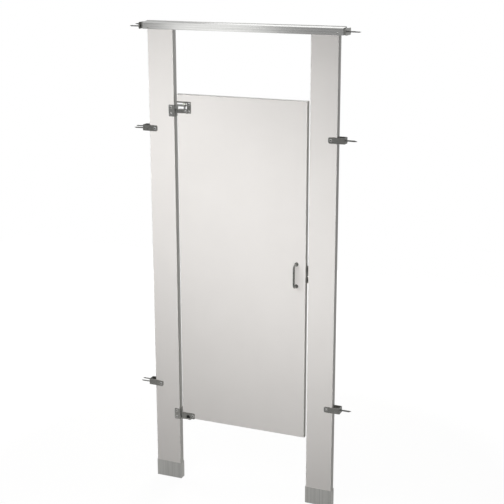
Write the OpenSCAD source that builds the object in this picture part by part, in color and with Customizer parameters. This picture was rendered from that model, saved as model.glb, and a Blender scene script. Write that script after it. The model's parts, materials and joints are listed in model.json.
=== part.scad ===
// Toilet cubicle front that stands between two walls: two pilasters, a door on
// rising-cam hinges, a headrail and the brackets that tie it all to the walls.
// X runs to the right seen from outside, Y runs into the cubicle, Z is up.
// The origin is on the floor, in the middle of the doorway, midway through the pilasters.

/* [Doorway and pilasters] */
// Clear width between the two pilasters
doorway_w = 609.6; // [580:0.1:760]
// Width of each pilaster
pilaster_w = 120.65; // [112:0.05:250]
// Thickness of the pilasters
pilaster_t = 31.75; // [30:0.05:38]
// Gap from each wall to the edge of its pilaster
wall_gap = 31.75; // [28:0.05:40]
// Height of each pilaster's lower edge above the floor
pilaster_z = 38; // [36:1:60]

/* [Door] */
// Height of the door leaf
door_h = 1473.2; // [1300:0.1:1600]
// Thickness of the door leaf
door_t = 25.4; // [25:0.05:28]
// Height of the door's lower edge above the floor
door_z = 304.8; // [250:0.1:340]
// Gap between the door and the pilaster on the hinge side
hinge_gap = 11.1; // [10:0.1:14]
// Gap between the door and the pilaster on the latch side
latch_gap = 9.5; // [8:0.1:12]

/* [Panel skins] */
// Thickness of the steel face sheets
sheet_t = 0.9; // [0.7:0.05:1.2]
// Outside radius where a face sheet turns over the edge
bend_r = 2; // [1.5:0.1:2.5]
// How far the crown moulding stands out of the panel edge
crown_rise = 1.6; // [1:0.1:2.2]
// Width of the moulding's rib that locks between the two sheets
lock_w = 7; // [5:0.5:9]
// Depth of that rib
lock_d = 4; // [3:0.5:6]

/* [Headrail] */
// Height of the headrail's underside above the floor
rail_z = 2044.5; // [1990:0.5:2200]
// Height of the headrail's front face
rail_face_h = 28; // [26:0.5:34]
// How much higher the back edge is than the front edge
rail_rise = 6; // [3:0.5:14]
// Wall thickness of the extrusion
rail_wall = 2.1; // [1.6:0.1:2.6]
// Radius along the two upper edges
rail_edge_r = 3; // [1.5:0.5:4]
// Gap from each wall to the end of the headrail
rail_end_gap = 14; // [10:0.5:20]
// How far the pilasters reach up inside the headrail
rail_lap = 20; // [17:0.5:21]

/* [Headrail brackets] */
// Thickness of the bracket's legs and flange
rail_bracket_t = 2.4; // [2:0.1:3]
// Length of the legs from the wall
rail_bracket_reach = 60; // [52:1:75]
// Width of the eared flange on the wall
rail_flange_w = 62; // [60:1:70]
// Distance between the two wall screws in a flange
rail_screw_pitch = 49; // [49:0.5:50.5]
// Play between a bracket leg and the inside of the headrail
rail_fit = 0.15; // [0.1:0.05:0.4]

/* [Stirrup brackets] */
// Height of the lower pair's centre above the floor
stirrup_low_z = 457; // [400:1:600]
// Height of the upper pair's centre above the floor
stirrup_high_z = 1625.5; // [1500:0.5:1640]
// Height of a stirrup bracket
stirrup_h = 25.4; // [24:0.1:40]
// Thickness of the stirrup's strap
stirrup_t = 3; // [2.5:0.1:4]
// Length of the legs from the wall
stirrup_reach = 71.2; // [64:0.1:85]
// Distance from the end of a leg to its bolt
stirrup_bolt_end = 11.5; // [10:0.1:14]
// Distance between the two wall screws, one behind the other
stirrup_screw_pitch = 17; // [15:0.5:17]
// How much the two wall screws of any wall bracket are staggered in height
screw_stagger = 5; // [1:0.5:6]
// How far the pair of wall screws sits off the middle of its bracket
screw_shift = 0.6; // [0.4:0.1:0.8]

/* [Fasteners] */
// Radius of a wall screw's shank
screw_r = 2.8; // [2.5:0.1:3.1]
// Radius of a wall screw's head
screw_head_r = 4.8; // [4.2:0.1:4.9]
// Length of a wall screw outside its bracket
screw_out = 45; // [35:1:60]
// Radius of a through bolt's shank
bolt_r = 2.4; // [2:0.1:2.6]
// Outside radius of the sleeve nut that the bolt screws into
sleeve_r = 3.8; // [3.5:0.1:4.2]
// Radius of the domed heads of sleeve nuts and bolts
dome_r = 6; // [5:0.1:6.4]
// Height of those heads
dome_h = 2.4; // [1.6:0.1:3]
// Clearance of a shank in its hole
hole_play = 0.25; // [0.15:0.05:0.4]

/* [Hinges] */
// Distance from the door's hinge edge to the pivot
pivot_inset = 30; // [29:0.1:30.2]
// Radius of the hinge pins
pin_r = 4; // [3.5:0.1:4.2]
// Radial running clearance of a pin
pin_play = 0.06; // [0.03:0.01:0.09]
// Width of the leaves on the pilaster's faces
leaf_w = 25.4; // [24:0.1:34]
// Height of the pilaster leaves
leaf_h = 50; // [46:1:70]
// Thickness of the pilaster leaves
leaf_t = 2.6; // [2.2:0.1:3.2]
// Thickness of the web round the pilaster's edge
leaf_web = 3; // [2.5:0.1:4]
// Thickness of a hinge arm
arm_t = 6.5; // [5.5:0.1:8]
// Radius of a hinge arm's round end
arm_end_r = 9; // [8.5:0.1:9.5]
// Half width of a hinge arm where it leaves the web
arm_root_y = 12; // [9.5:0.1:13]
// Distance from the door's upper edge down to the upper hinge arm
upper_hinge_drop = 47; // [46:0.5:200]

/* [Upper door casting] */
// Width of the casting
notch_casting_w = 66.4; // [64:0.1:80]
// Width of the see-through notch
notch_w = 48; // [47.8:0.1:49.5]
// Free space between the arm and the notch's upper edge
notch_above = 10; // [8:0.1:14]
// Free space between the arm and the notch's lower edge
notch_below = 13; // [9:0.1:16]
// Thickness of the webs that line the notch
notch_web = 4; // [3:0.1:5]
// Height of the casting's bar above the notch
notch_bar_above = 6; // [6:0.1:9]
// Height of the casting's bar below the notch
notch_bar_below = 14.5; // [14.5:0.1:22]
// Thickness of the door castings' cheeks outside the door's faces
cheek_t = 2.4; // [2:0.1:3]

/* [Lower door casting] */
// Width of the casting
corner_w = 61; // [58:0.1:75]
// Height of the casting
corner_h = 27; // [26.5:0.1:34]
// Gap between the lower arm and the underside of the door
arm_door_gap = 1.3; // [0.8:0.1:2]
// Radius of the pocket that holds the cams
pocket_r = 10.4; // [10.3:0.05:10.6]

/* [Rising cams] */
// Radius of the two cams
cam_r = 10; // [9:0.1:10]
// Height that a cam's ramp climbs in half a turn
cam_ramp_h = 8; // [5:0.1:8.2]
// Height of the lower cam below its ramps
cam_base_h = 6; // [5:0.1:7]
// Play between the two ramped faces
cam_play = 0.4; // [0.35:0.05:0.5]
// Steps along each ramp
cam_steps = 24; // [12:1:36]

/* [Latch] */
// Height of the latch above the floor
latch_z = 1041; // [900:1:1200]
// Distance from the door's latch edge to the housing
latch_back = 15; // [15:0.5:30]
// Length of the housing
housing_l = 76; // [70:1:100]
// Height of the housing
housing_h = 46; // [44:1:60]
// Thickness of the housing's cover over the bolt
housing_cover = 2.4; // [2:0.1:3]
// Height of the sliding bolt
bar_h = 19; // [16:0.5:20]
// Thickness of the sliding bolt
bar_t = 6; // [5:0.1:7]
// Length of the sliding bolt
bar_l = 84; // [80:1:86]
// Travel of the sliding bolt
bar_throw = 25; // [20:0.5:26]
// Play of the bolt in its housing and keeper
bar_play = 0.3; // [0.2:0.05:0.5]
// Radius of the knob
knob_r = 8; // [7:0.5:9]
// Length of the knob outside the housing
knob_l = 14; // [10:0.5:20]

/* [Keeper] */
// Height of the keeper
keeper_h = 76; // [72:1:90]
// Thickness of its plate
keeper_t = 2.5; // [2:0.1:3]
// Width of its plate on the pilaster
keeper_w = 38; // [36:1:60]
// How far its two tongues reach over the door
keeper_lap = 11; // [8:0.5:11]
// Thickness of the bridge that the bolt slides under
bridge_t = 3; // [2.5:0.1:4]
// Width of that bridge
bridge_w = 20; // [14:0.5:22]

/* [Door pull and coat hook] */
// Distance from the door's latch edge to the pull
pull_inset = 42; // [35:1:48]
// Height between the pull's two feet
pull_pitch = 96; // [90:1:160]
// Radius of the pull's rod
pull_r = 4.5; // [4:0.1:6]
// Distance from the door's face to the middle of the pull's grip
pull_out = 32; // [28:0.5:45]
// Distance from the door's upper edge down to the coat hook
hook_drop = 138; // [90:1:300]
// Distance of the hook's tip from the door's face
hook_out = 46; // [40:1:70]

/* [Base] */
// Height of the shoes
shoe_h = 76.2; // [70:0.1:110]
// Thickness of the shoes' sheet
shoe_t = 1.2; // [0.8:0.1:1.5]
// Play between a shoe and its pilaster
shoe_play = 0.4; // [0.2:0.05:0.8]
// Radius of the shoes' upright corners
shoe_r = 4; // [3:0.1:5]
// Thickness of the levelling bar under each pilaster
level_bar_t = 8; // [6:0.5:10]
// Distance between the two levelling studs
stud_pitch = 76; // [66:1:80]
// Radius of the levelling studs
stud_r = 4.8; // [4:0.1:5]
// Thickness of the foot plate
foot_t = 4; // [3:0.5:6]
// Distance between the two anchor holes in a foot plate
anchor_pitch = 30; // [26:1:34]
// Radius of the anchor holes
anchor_r = 3.3; // [2.8:0.1:3.6]

/* [Hidden] */
$fn = 48;
eps = 0.01;
past = 1;
// How far an outline runs on past an edge where it is cut off square.
spare = 9;
// Corner radius of the hinge castings' cheeks.
cheek_corner_r = 3;
// How much thinner the neck of a wall screw is than its thread.
neck_step = 0.3;
// How far that neck comes out of the bracket.
neck_out = 0.3;

// Outline of a panel: left, right, lower and upper edge, and thickness.
pilaster_outer_x = doorway_w / 2 + pilaster_w;
wall_x = pilaster_outer_x + wall_gap;
pilaster_top = rail_z + rail_lap;
door_x0 = -doorway_w / 2 + hinge_gap;
door_x1 = doorway_w / 2 - latch_gap;
door_top = door_z + door_h;
left_panel = [-pilaster_outer_x, -doorway_w / 2, pilaster_z, pilaster_top, pilaster_t];
right_panel = [doorway_w / 2, pilaster_outer_x, pilaster_z, pilaster_top, pilaster_t];
door_panel = [door_x0, door_x1, door_z, door_top, door_t];

// The hinge pivot and the heights of the two hinges.
pivot_x = door_x0 + pivot_inset;
upper_arm_z = door_top - upper_hinge_drop;
upper_arm_low = upper_arm_z - arm_t;
lower_arm_z = door_z - arm_door_gap;
lower_arm_low = lower_arm_z - arm_t;
notch_x1 = door_x0 + notch_w;
notch_z0 = upper_arm_low - notch_below;
notch_z1 = upper_arm_z + notch_above;
corner_block_x1 = pivot_x + pocket_r + 3;
corner_block_top = door_z + corner_h - 2;
cam_floor = lower_arm_z;
ramp_floor = cam_floor + cam_base_h;
upper_cam_top = ramp_floor + cam_ramp_h + 6;
cam_flat_y = cam_r * 0.84;
// The upper cam's flats start here; below them it is round, like its pocket.
upper_cam_key_z = ramp_floor + cam_ramp_h + 1;
// Angle in degrees that the steps of the two cams stand apart.
cam_step_play = 2;
// The bush in the upper arm, and the lower cam's hexagonal stem in the lower arm.
bush_r = pin_r + 2;
stem_r = 6.4;
stem_play = 0.1;

// Positions of everything that is bolted through, as [x, z].
stirrup_bolt_x = wall_x - stirrup_reach + stirrup_bolt_end;
stirrup_heights = [stirrup_low_z, stirrup_high_z];
leaf_bolt_x = -doorway_w / 2 - leaf_w / 2 - 1.5;
leaf_bolt_edge = 11;
upper_leaf_z = upper_arm_z - leaf_h;
lower_leaf_z = lower_arm_low;
upper_leaf_bolts = [for (dz = [leaf_bolt_edge, leaf_h - leaf_bolt_edge]) [leaf_bolt_x, upper_leaf_z + dz]];
lower_leaf_bolts = [for (dz = [leaf_bolt_edge, leaf_h - leaf_bolt_edge]) [leaf_bolt_x, lower_leaf_z + dz]];
notch_bolt_x = door_x0 + notch_casting_w - 8;
notch_bolt_low = notch_z0 - 7.2;
notch_bolts = [[notch_bolt_x, notch_z1 - 4], [notch_bolt_x, notch_bolt_low],
    [notch_bolt_x - 17, notch_bolt_low - 0.1]];
corner_bolts = [[door_x0 + corner_w - 8, door_z + 14]];
stirrup_points = [for (s = [-1, 1], z = stirrup_heights) [s * stirrup_bolt_x, z]];
leaf_points = concat(upper_leaf_bolts, lower_leaf_bolts);
casting_points = concat(notch_bolts, corner_bolts);
pull_x = door_x1 - pull_inset;
pull_ends = [for (s = [-1, 1]) [pull_x, latch_z + s * pull_pitch / 2]];
rail_screw_x = pilaster_outer_x - 7;
rail_screw_z = rail_z + 8;
rail_half_in = pilaster_t / 2 + rail_bracket_t + rail_fit;
rail_half_out = rail_half_in + rail_wall;
sleeve_hole = sleeve_r + hole_play;
fixing_r = 2.1;

// The slide latch: the housing, its bolt and the keeper on the pilaster.
keeper_y1 = pilaster_t / 2 + keeper_t;
housing_x1 = door_x1 - latch_back;
housing_x0 = housing_x1 - housing_l;
bar_y0 = keeper_y1 + 2 * bar_play;
bar_y1 = bar_y0 + bar_t;
bar_x1 = door_x1 - 3;
bar_x0 = bar_x1 - bar_l;
housing_y1 = bar_y1 + bar_play + housing_cover;
knob_x = housing_x0 + 24;
knob_stem_r = 4;
keeper_x0 = doorway_w / 2 + 3;
keeper_x1 = keeper_x0 + keeper_w;
keeper_window_h = bar_h + 2 * bar_play + 3;
keeper_screw_x = keeper_x1 - 7;
housing_screw_x = [housing_x0 + 7, housing_x1 - 7];
housing_screw_z = [latch_z - housing_h / 2 + 6, latch_z + housing_h / 2 - 6];
housing_screw_y = housing_y1 - 2.2;
keeper_screw_z = [latch_z - keeper_h / 2 + 9, latch_z + keeper_h / 2 - 9];
hook_x = (door_x0 + door_x1) / 2;
hook_z = door_top - hook_drop;
hook_root_z = hook_z - 8;
hook_curl = 13;
hook_plate = [36, 4, 56];
hook_screw_z = [hook_z - 20, hook_z + 20];
shoe_screw_z = 62;
level_bar_w = 19;
foot_half_l = stud_pitch / 2 + 13;
foot_half_w = 13;
pilaster_mid_x = (doorway_w + pilaster_w) / 2;
screw_bite = 10;

// Holes as [x, z, radius]. Those at the back take screws that stop inside the panel.
function drilled(places, r) = [for (p = places) [p[0], p[1], r]];
left_holes = concat(
    drilled([for (z = stirrup_heights) [-stirrup_bolt_x, z]], sleeve_hole),
    drilled(leaf_points, sleeve_hole),
    [[-rail_screw_x, rail_screw_z, fixing_r]]);
right_holes = concat(
    drilled([for (z = stirrup_heights) [stirrup_bolt_x, z]], sleeve_hole),
    [[rail_screw_x, rail_screw_z, fixing_r]]);
door_holes = concat(drilled(casting_points, sleeve_hole),
    drilled(pull_ends, bolt_r + hole_play));
left_back_holes = [[-pilaster_mid_x, shoe_screw_z, fixing_r]];
right_back_holes = concat([[pilaster_mid_x, shoe_screw_z, fixing_r]],
    drilled([for (z = keeper_screw_z) [keeper_screw_x, z]], fixing_r));
door_back_holes = drilled(concat([for (z = hook_screw_z) [hook_x, z]],
    [for (x = housing_screw_x, z = housing_screw_z) [x, z]]), fixing_r);

// A box given by its two opposite corners.
module box(low, high) {
    translate(low) cube(high - low);
}

// A rectangle with four round corners, given by its lower left and upper right corner.
module round_rect(low, high, r) {
    translate([low[0] + r, low[1]]) square([high[0] - low[0] - 2 * r, high[1] - low[1]]);
    translate([low[0], low[1] + r]) square([high[0] - low[0], high[1] - low[1] - 2 * r]);
    for (x = [low[0] + r, high[0] - r], y = [low[1] + r, high[1] - r])
        translate([x, y]) circle(r);
}

// Extrudes an outline drawn in X and Z along Y, from y0 to y1.
module extrude_y(y0, y1) {
    translate([0, y1, 0]) rotate([90, 0, 0]) linear_extrude(y1 - y0) children();
}

// Extrudes an outline drawn in Y and Z along X, from x0 to x1.
module extrude_x(x0, x1) {
    translate([x0, 0, 0]) rotate([90, 0, 90]) linear_extrude(x1 - x0) children();
}

// A round hole or rod along Y.
module rod_y(x, z, r, y0, y1) {
    translate([x, y1, z]) rotate([90, 0, 0]) cylinder(r = r, h = y1 - y0);
}

// A flat slab whose long edges are all turned over with radius r.
module turned_slab(p, inset, half_t, r) {
    intersection() {
        translate([0, 0, p[2] + inset]) linear_extrude(p[3] - p[2] - 2 * inset)
            round_rect([p[0] + inset, -half_t], [p[1] - inset, half_t], r);
        extrude_x(p[0] + inset, p[1] - inset)
            round_rect([-half_t, p[2] + inset], [half_t, p[3] - inset], r);
    }
}

// Outline of a strip with a shallow arc of the given rise on both ends.
module crowned_strip(low, high, half_w, rise) {
    arc_r = (half_w * half_w + rise * rise) / (2 * rise);
    translate([low + rise, -half_w]) square([high - low - 2 * rise, 2 * half_w]);
    for (s = [0, 1])
        translate([s ? high - arc_r : low + arc_r, 0]) intersection() {
            circle(arc_r, $fn = 180);
            translate([s ? arc_r - rise - eps : -arc_r, -half_w]) square([rise + eps, 2 * half_w]);
        }
}

// Cuts the drilled holes of a panel.
module drill(holes, half_t) {
    for (h = holes) rod_y(h[0], h[1], h[2], -half_t - past, half_t + past);
}

// One face sheet, folded to a shallow tray. Side -1 is the front, side 1 the back.
module face_sheet(p, side, holes) {
    half_t = p[4] / 2;
    difference() {
        intersection() {
            turned_slab(p, crown_rise, half_t, bend_r);
            mirror([0, side > 0 ? 1 : 0, 0])
                box([p[0], -half_t, p[2]], [p[1], -lock_w / 2, p[3]]);
        }
        turned_slab(p, crown_rise + sheet_t, half_t - sheet_t, bend_r - sheet_t);
        drill(holes, half_t);
    }
}

// The core fills the two trays and stops at the moulding's rib.
module core(p, holes) {
    rim = crown_rise + lock_d;
    difference() {
        turned_slab(p, crown_rise + sheet_t, p[4] / 2 - sheet_t, bend_r - sheet_t);
        difference() {
            box([p[0], -lock_w / 2, p[2]], [p[1], lock_w / 2, p[3]]);
            box([p[0] + rim, -lock_w, p[2] + rim], [p[1] - rim, lock_w, p[3] - rim]);
        }
        drill(holes, p[4] / 2);
    }
}

// The crown moulding covers the seam round the edge and locks into it with a rib.
module crown(p) {
    half_w = p[4] / 2 - bend_r - 0.5;
    rim = crown_rise + lock_d;
    difference() {
        intersection() {
            translate([0, 0, p[2]]) linear_extrude(p[3] - p[2])
                crowned_strip(p[0], p[1], half_w, crown_rise);
            extrude_x(p[0], p[1]) rotate(90) mirror([0, 1])
                crowned_strip(p[2], p[3], half_w, crown_rise);
        }
        difference() {
            box([p[0] + crown_rise, -half_w - past, p[2] + crown_rise],
                [p[1] - crown_rise, half_w + past, p[3] - crown_rise]);
            box([p[0], -lock_w / 2, p[2]], [p[1], lock_w / 2, p[3]]);
        }
        box([p[0] + rim, -half_w, p[2] + rim], [p[1] - rim, half_w, p[3] - rim]);
    }
}

// The places cut out of the door for its two hinge castings.
module hinge_cuts() {
    box([door_x0 - past, -door_t, notch_z0 - notch_web],
        [notch_x1 + notch_web, door_t, notch_z1 + notch_web]);
    box([door_x0 - past, -door_t, door_z - past], [corner_block_x1, door_t, corner_block_top]);
}

// Sleeve nut: a domed head at the front and a threaded sleeve that reaches into the panel.
module sleeve_nut(x, z, face_y, length) {
    difference() {
        union() {
            dome(x, z, face_y, -1);
            rod_y(x, z, sleeve_r, face_y, face_y + length);
        }
        rod_y(x, z, bolt_r, face_y + 2, face_y + length + past);
    }
}

// Bolt: a domed head at the back, screwed into the sleeve from behind.
module back_bolt(x, z, face_y, length) {
    dome(x, z, face_y, 1);
    rod_y(x, z, bolt_r, face_y - length, face_y + eps);
}

// Low dome that sits on the face at y and bulges towards side.
module dome(x, z, y, side) {
    rim_h = dome_h * 0.35;
    cap_h = dome_h - rim_h;
    cap_r = (dome_r * dome_r + cap_h * cap_h) / (2 * cap_h);
    translate([x, y, z]) rotate([-90 * side, 0, 0]) intersection() {
        cylinder(r = dome_r, h = dome_h);
        translate([0, 0, dome_h - cap_r]) sphere(cap_r, $fn = 96);
    }
}

// Pan head with a rounded crown, its underside at z 0, bulging up.
module pan_head(r, h) {
    rotate_extrude() {
        square([r - h * 0.5, h]);
        square([r, h * 0.5]);
        translate([r - h * 0.5, h * 0.5]) circle(h * 0.5);
    }
}

// Wall screw along +X: the head's underside is at x 0. Its plain neck in the bracket is
// thinner than the thread, which is drawn at its full width.
module wall_screw(grip, length) {
    point = 7;
    neck = grip + neck_out;
    rotate([0, 90, 0]) {
        mirror([0, 0, 1]) pan_head(screw_head_r, 2.6);
        cylinder(r = screw_r - neck_step, h = neck + eps);
        translate([0, 0, neck]) cylinder(r = screw_r, h = grip + length - point - neck);
        translate([0, 0, grip + length - point]) cylinder(r1 = screw_r, r2 = 0.4, h = point);
    }
}

// Places its child against the right wall, or turned round against the left one.
module at_wall(side) {
    rotate([0, 0, side > 0 ? 0 : 180]) translate([wall_x, 0, 0]) children();
}

// Repeats its child at both wall screws of a bracket, on a slant and pitch apart in Y.
module at_wall_screws(x, pitch, z) {
    for (s = [-1, 1])
        translate([x, screw_shift + s * pitch / 2, z - s * screw_stagger / 2]) children();
}

// A strap bent to a U that lies on both faces of a pilaster, with its back on the wall.
module stirrup(zc) {
    half_in = pilaster_t / 2;
    half_out = half_in + stirrup_t;
    inside_bend = 1.5;
    bend = stirrup_t + inside_bend;
    corner = 7;
    difference() {
        intersection() {
            translate([0, 0, zc - stirrup_h / 2]) linear_extrude(stirrup_h) difference() {
                union() {
                    round_rect([-stirrup_reach / 2, -half_out], [0, half_out], bend);
                    translate([-stirrup_reach, -half_out])
                        square([stirrup_reach - bend, 2 * half_out]);
                }
                round_rect([-stirrup_reach - spare, -half_in], [-stirrup_t, half_in], inside_bend);
            }
            extrude_y(-half_out - past, half_out + past) {
                round_rect([-stirrup_reach, zc - stirrup_h / 2], [-spare, zc + stirrup_h / 2], corner);
                translate([-stirrup_reach / 2, zc - stirrup_h / 2])
                    square([stirrup_reach / 2, stirrup_h]);
            }
        }
        rod_y(-stirrup_reach + stirrup_bolt_end, zc, sleeve_hole,
            -half_out - past, half_out + past);
        at_wall_screws(-stirrup_t - past, stirrup_screw_pitch, zc) rotate([0, 90, 0])
            cylinder(r = screw_r + hole_play, h = stirrup_t + 2 * past);
    }
}

// Headrail bracket: an eared flange on the wall and two legs inside the rail.
module rail_bracket() {
    half_in = pilaster_t / 2;
    half_out = half_in + rail_bracket_t;
    ear_r = 5;
    leg_corner_r = 0.9;
    leg_play = 0.5;
    set_in = 1;
    difference() {
        union() {
            extrude_x(-rail_bracket_t, 0)
                round_rect([-rail_flange_w / 2, rail_z],
                    [rail_flange_w / 2, rail_z + rail_face_h], ear_r);
            for (s = [-1, 1])
                mirror([0, s > 0 ? 0 : 1, 0]) {
                    extrude_y(half_in, half_out)
                        round_rect([-rail_bracket_reach, rail_z + set_in],
                            [-eps, rail_z + rail_lap - leg_play], leg_corner_r);
                    box([-rail_end_gap + set_in, half_in, rail_z + set_in],
                        [-rail_bracket_t + eps, half_out, rail_z + rail_face_h - set_in]);
                }
        }
        rod_y(rail_screw_x - wall_x, rail_screw_z, fixing_r + hole_play,
            -half_out - past, half_out + past);
        at_wall_screws(-rail_bracket_t - past, rail_screw_pitch, rail_z + rail_face_h / 2)
            rotate([0, 90, 0]) cylinder(r = screw_r + hole_play, h = rail_bracket_t + 2 * past);
    }
}

// Points along an arc, for the rounded edges of the headrail's section.
function arc_points(c, r, a0, a1, n) =
    [for (i = [0:n]) c + r * [cos(a0 + (a1 - a0) * i / n), sin(a0 + (a1 - a0) * i / n)]];

// Outline of the anti-grip headrail, in Y and height above its underside.
module rail_outline() {
    slope = atan(rail_rise / (2 * rail_half_out));
    front = -rail_half_out;
    back = rail_half_out;
    back_h = rail_face_h + rail_rise;
    // Centres of the two edge arcs, each one radius inside both faces that meet there.
    front_c = [front + rail_edge_r, rail_face_h - rail_edge_r * tan(45 - slope / 2)];
    back_c = [back - rail_edge_r, back_h - rail_edge_r * tan(45 + slope / 2)];
    polygon(concat([[front, 0]],
        arc_points(front_c, rail_edge_r, 180, 90 + slope, 6),
        arc_points(back_c, rail_edge_r, 90 + slope, 0, 6),
        [[back, 0]]));
}

// The headrail: open channel below, closed wedge-shaped chamber above its web.
module headrail_section() {
    pilaster_gap = 0.3;
    web_low = rail_lap + pilaster_gap;
    web_t = 1.8;
    front_in = -rail_half_in;
    back_in = rail_half_in;
    slope = rail_rise / (2 * rail_half_out);
    top_wall = rail_wall * 1.1;
    top_in = rail_face_h - top_wall;
    back_top = top_in + slope * (back_in + rail_half_out) - 0.5;
    difference() {
        rail_outline();
        translate([front_in, -past]) square([2 * rail_half_in, web_low + past]);
        polygon([[front_in + 1, web_low + web_t], [back_in, web_low + web_t], [back_in, back_top],
            [front_in + 1, top_in + slope * (front_in + 1 + rail_half_out)]]);
    }
}

// Pilaster half of a hinge: a U round the pilaster's edge with a flat arm to the pivot.
module hinge_arm(leaf_z, arm_z) {
    edge_x = -doorway_w / 2;
    half_out = pilaster_t / 2 + leaf_t;
    bend = 3;
    corner = 4;
    difference() {
        intersection() {
            translate([0, 0, leaf_z]) linear_extrude(leaf_h) difference() {
                round_rect([edge_x - leaf_w - spare, -half_out], [edge_x + leaf_web, half_out], bend);
                translate([edge_x - leaf_w - spare - past, -pilaster_t / 2])
                    square([leaf_w + spare + past, pilaster_t]);
            }
            extrude_y(-half_out - past, half_out + past)
                round_rect([edge_x - leaf_w, leaf_z],
                    [edge_x + leaf_web + corner, leaf_z + leaf_h], corner);
        }
        for (dz = [leaf_bolt_edge, leaf_h - leaf_bolt_edge])
            rod_y(leaf_bolt_x, leaf_z + dz, sleeve_hole, -half_out - past, half_out + past);
    }
    translate([0, 0, arm_z]) linear_extrude(arm_t) {
        polygon([[edge_x, -arm_root_y], [pivot_x, -arm_end_r],
            [pivot_x, arm_end_r], [edge_x, arm_root_y]]);
        translate([pivot_x, 0]) circle(arm_end_r);
    }
}

// Door casting round the notch: two cheeks joined by the webs that line the notch.
module notch_casting() {
    half_out = door_t / 2 + cheek_t;
    low = notch_z0 - notch_bar_below;
    high = notch_z1 + notch_bar_above;
    notch_corner_r = 2.5;
    difference() {
        extrude_y(-half_out, half_out) difference() {
            round_rect([door_x0, low], [door_x0 + notch_casting_w, high], cheek_corner_r);
            round_rect([door_x0 - spare, notch_z0], [notch_x1, notch_z1], notch_corner_r);
        }
        extrude_y(-door_t / 2, door_t / 2) difference() {
            translate([door_x0 - past, low - past])
                square([notch_casting_w + 2 * past, high - low + 2 * past]);
            translate([door_x0 - spare, notch_z0 - notch_web])
                square([notch_w + spare + notch_web, notch_z1 - notch_z0 + 2 * notch_web]);
        }
        for (p = notch_bolts)
            rod_y(p[0], p[1], sleeve_hole, -half_out - past, half_out + past);
        translate([pivot_x, 0, low - past]) cylinder(r = pin_r + pin_play, h = high - low + 2 * past);
    }
}

// Door casting at the lower corner: cheeks and a block with the pocket for the cams.
module corner_casting() {
    half_out = door_t / 2 + cheek_t;
    high = door_z + corner_h;
    window_r = 8;
    window_depth = -4;
    flat_play = 0.1;
    difference() {
        union() {
            for (s = [-1, 1])
                mirror([0, s > 0 ? 0 : 1, 0]) extrude_y(door_t / 2, half_out)
                    round_rect([door_x0, door_z], [door_x0 + corner_w, high], cheek_corner_r);
            box([door_x0, -door_t / 2, door_z], [corner_block_x1, door_t / 2, corner_block_top]);
        }
        translate([pivot_x, 0, door_z - past]) cylinder(r = pocket_r, h = upper_cam_key_z - door_z + past);
        intersection() {
            translate([pivot_x, 0, upper_cam_key_z - past])
                cylinder(r = pocket_r, h = upper_cam_top - upper_cam_key_z + past);
            box([pivot_x - pocket_r, -cam_flat_y - flat_play, door_z],
                [pivot_x + pocket_r, cam_flat_y + flat_play, high]);
        }
        extrude_y(-half_out - past, window_depth) {
            translate([pivot_x, door_z + window_r]) circle(window_r);
            translate([pivot_x - window_r, door_z - past]) square([2 * window_r, window_r + past]);
        }
        for (p = corner_bolts)
            rod_y(p[0], p[1], sleeve_hole, -half_out - past, half_out + past);
    }
}

// One helical ramp over half a turn, highest at angle 0, standing on z 0 with a sunk foot.
module ramp(foot) {
    inner = 1;
    outer = cam_r + 2;
    n = cam_steps;
    points = [for (i = [0:n]) let (a = 180 * i / n, top = cam_ramp_h * (1 - i / n))
        each [[outer * cos(a), outer * sin(a), -foot], [outer * cos(a), outer * sin(a), top],
            [inner * cos(a), inner * sin(a), top], [inner * cos(a), inner * sin(a), -foot]]];
    sides = [for (i = [0:n - 1], j = [0:3]) let (a = 4 * i, b = a + 4, k = (j + 1) % 4)
        each [[a + j, b + k, b + j], [a + j, a + k, b + k]]];
    start = [[0, 2, 1], [0, 3, 2]];
    end = [for (f = start) [4 * n + f[0], 4 * n + f[2], 4 * n + f[1]]];
    polyhedron(points, concat(sides, start, end));
}

// Both ramps of a cam face.
module ramps(foot) {
    for (a = [0, 180]) rotate(a) ramp(foot);
}

module left_pilaster_front_sheet() {
    color([0.88, 0.87, 0.86]) face_sheet(left_panel, -1, left_holes);
}
module left_pilaster_back_sheet() {
    color([0.88, 0.87, 0.86]) face_sheet(left_panel, 1, concat(left_holes, left_back_holes));
}
module left_pilaster_core() {
    color([0.76, 0.66, 0.5]) core(left_panel, concat(left_holes, left_back_holes));
}
module left_pilaster_crown() {
    color([0.55, 0.55, 0.54]) crown(left_panel);
}
module right_pilaster_front_sheet() {
    color([0.88, 0.87, 0.86]) face_sheet(right_panel, -1, right_holes);
}
module right_pilaster_back_sheet() {
    color([0.88, 0.87, 0.86]) face_sheet(right_panel, 1, concat(right_holes, right_back_holes));
}
module right_pilaster_core() {
    color([0.76, 0.66, 0.5]) core(right_panel, concat(right_holes, right_back_holes));
}
module right_pilaster_crown() {
    color([0.55, 0.55, 0.54]) crown(right_panel);
}

// A shoe: a sheet sleeve with round upright corners that hides the levelling gear.
module shoe(side) {
    cx = side * pilaster_mid_x;
    half_x = pilaster_w / 2 + shoe_play;
    half_y = pilaster_t / 2 + shoe_play;
    color([0.6, 0.6, 0.6]) translate([cx, 0, 0]) difference() {
        linear_extrude(shoe_h) difference() {
            round_rect([-half_x - shoe_t, -half_y - shoe_t], [half_x + shoe_t, half_y + shoe_t], shoe_r);
            round_rect([-half_x, -half_y], [half_x, half_y], shoe_r - shoe_t);
        }
        rod_y(0, shoe_screw_z, fixing_r + hole_play, half_y - past, half_y + shoe_t + past);
    }
}

module left_shoe() {
    shoe(-1);
}
module right_shoe() {
    shoe(1);
}
module shoe_screws() {
    face = pilaster_t / 2 + shoe_play + shoe_t;
    color([0.5, 0.5, 0.5]) for (s = [-1, 1])
        translate([s * pilaster_mid_x, face, shoe_screw_z]) rotate([-90, 0, 0]) {
            pan_head(3.6, 1.8);
            mirror([0, 0, 1]) cylinder(r = fixing_r, h = shoe_play + shoe_t + screw_bite);
        }
}

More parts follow.
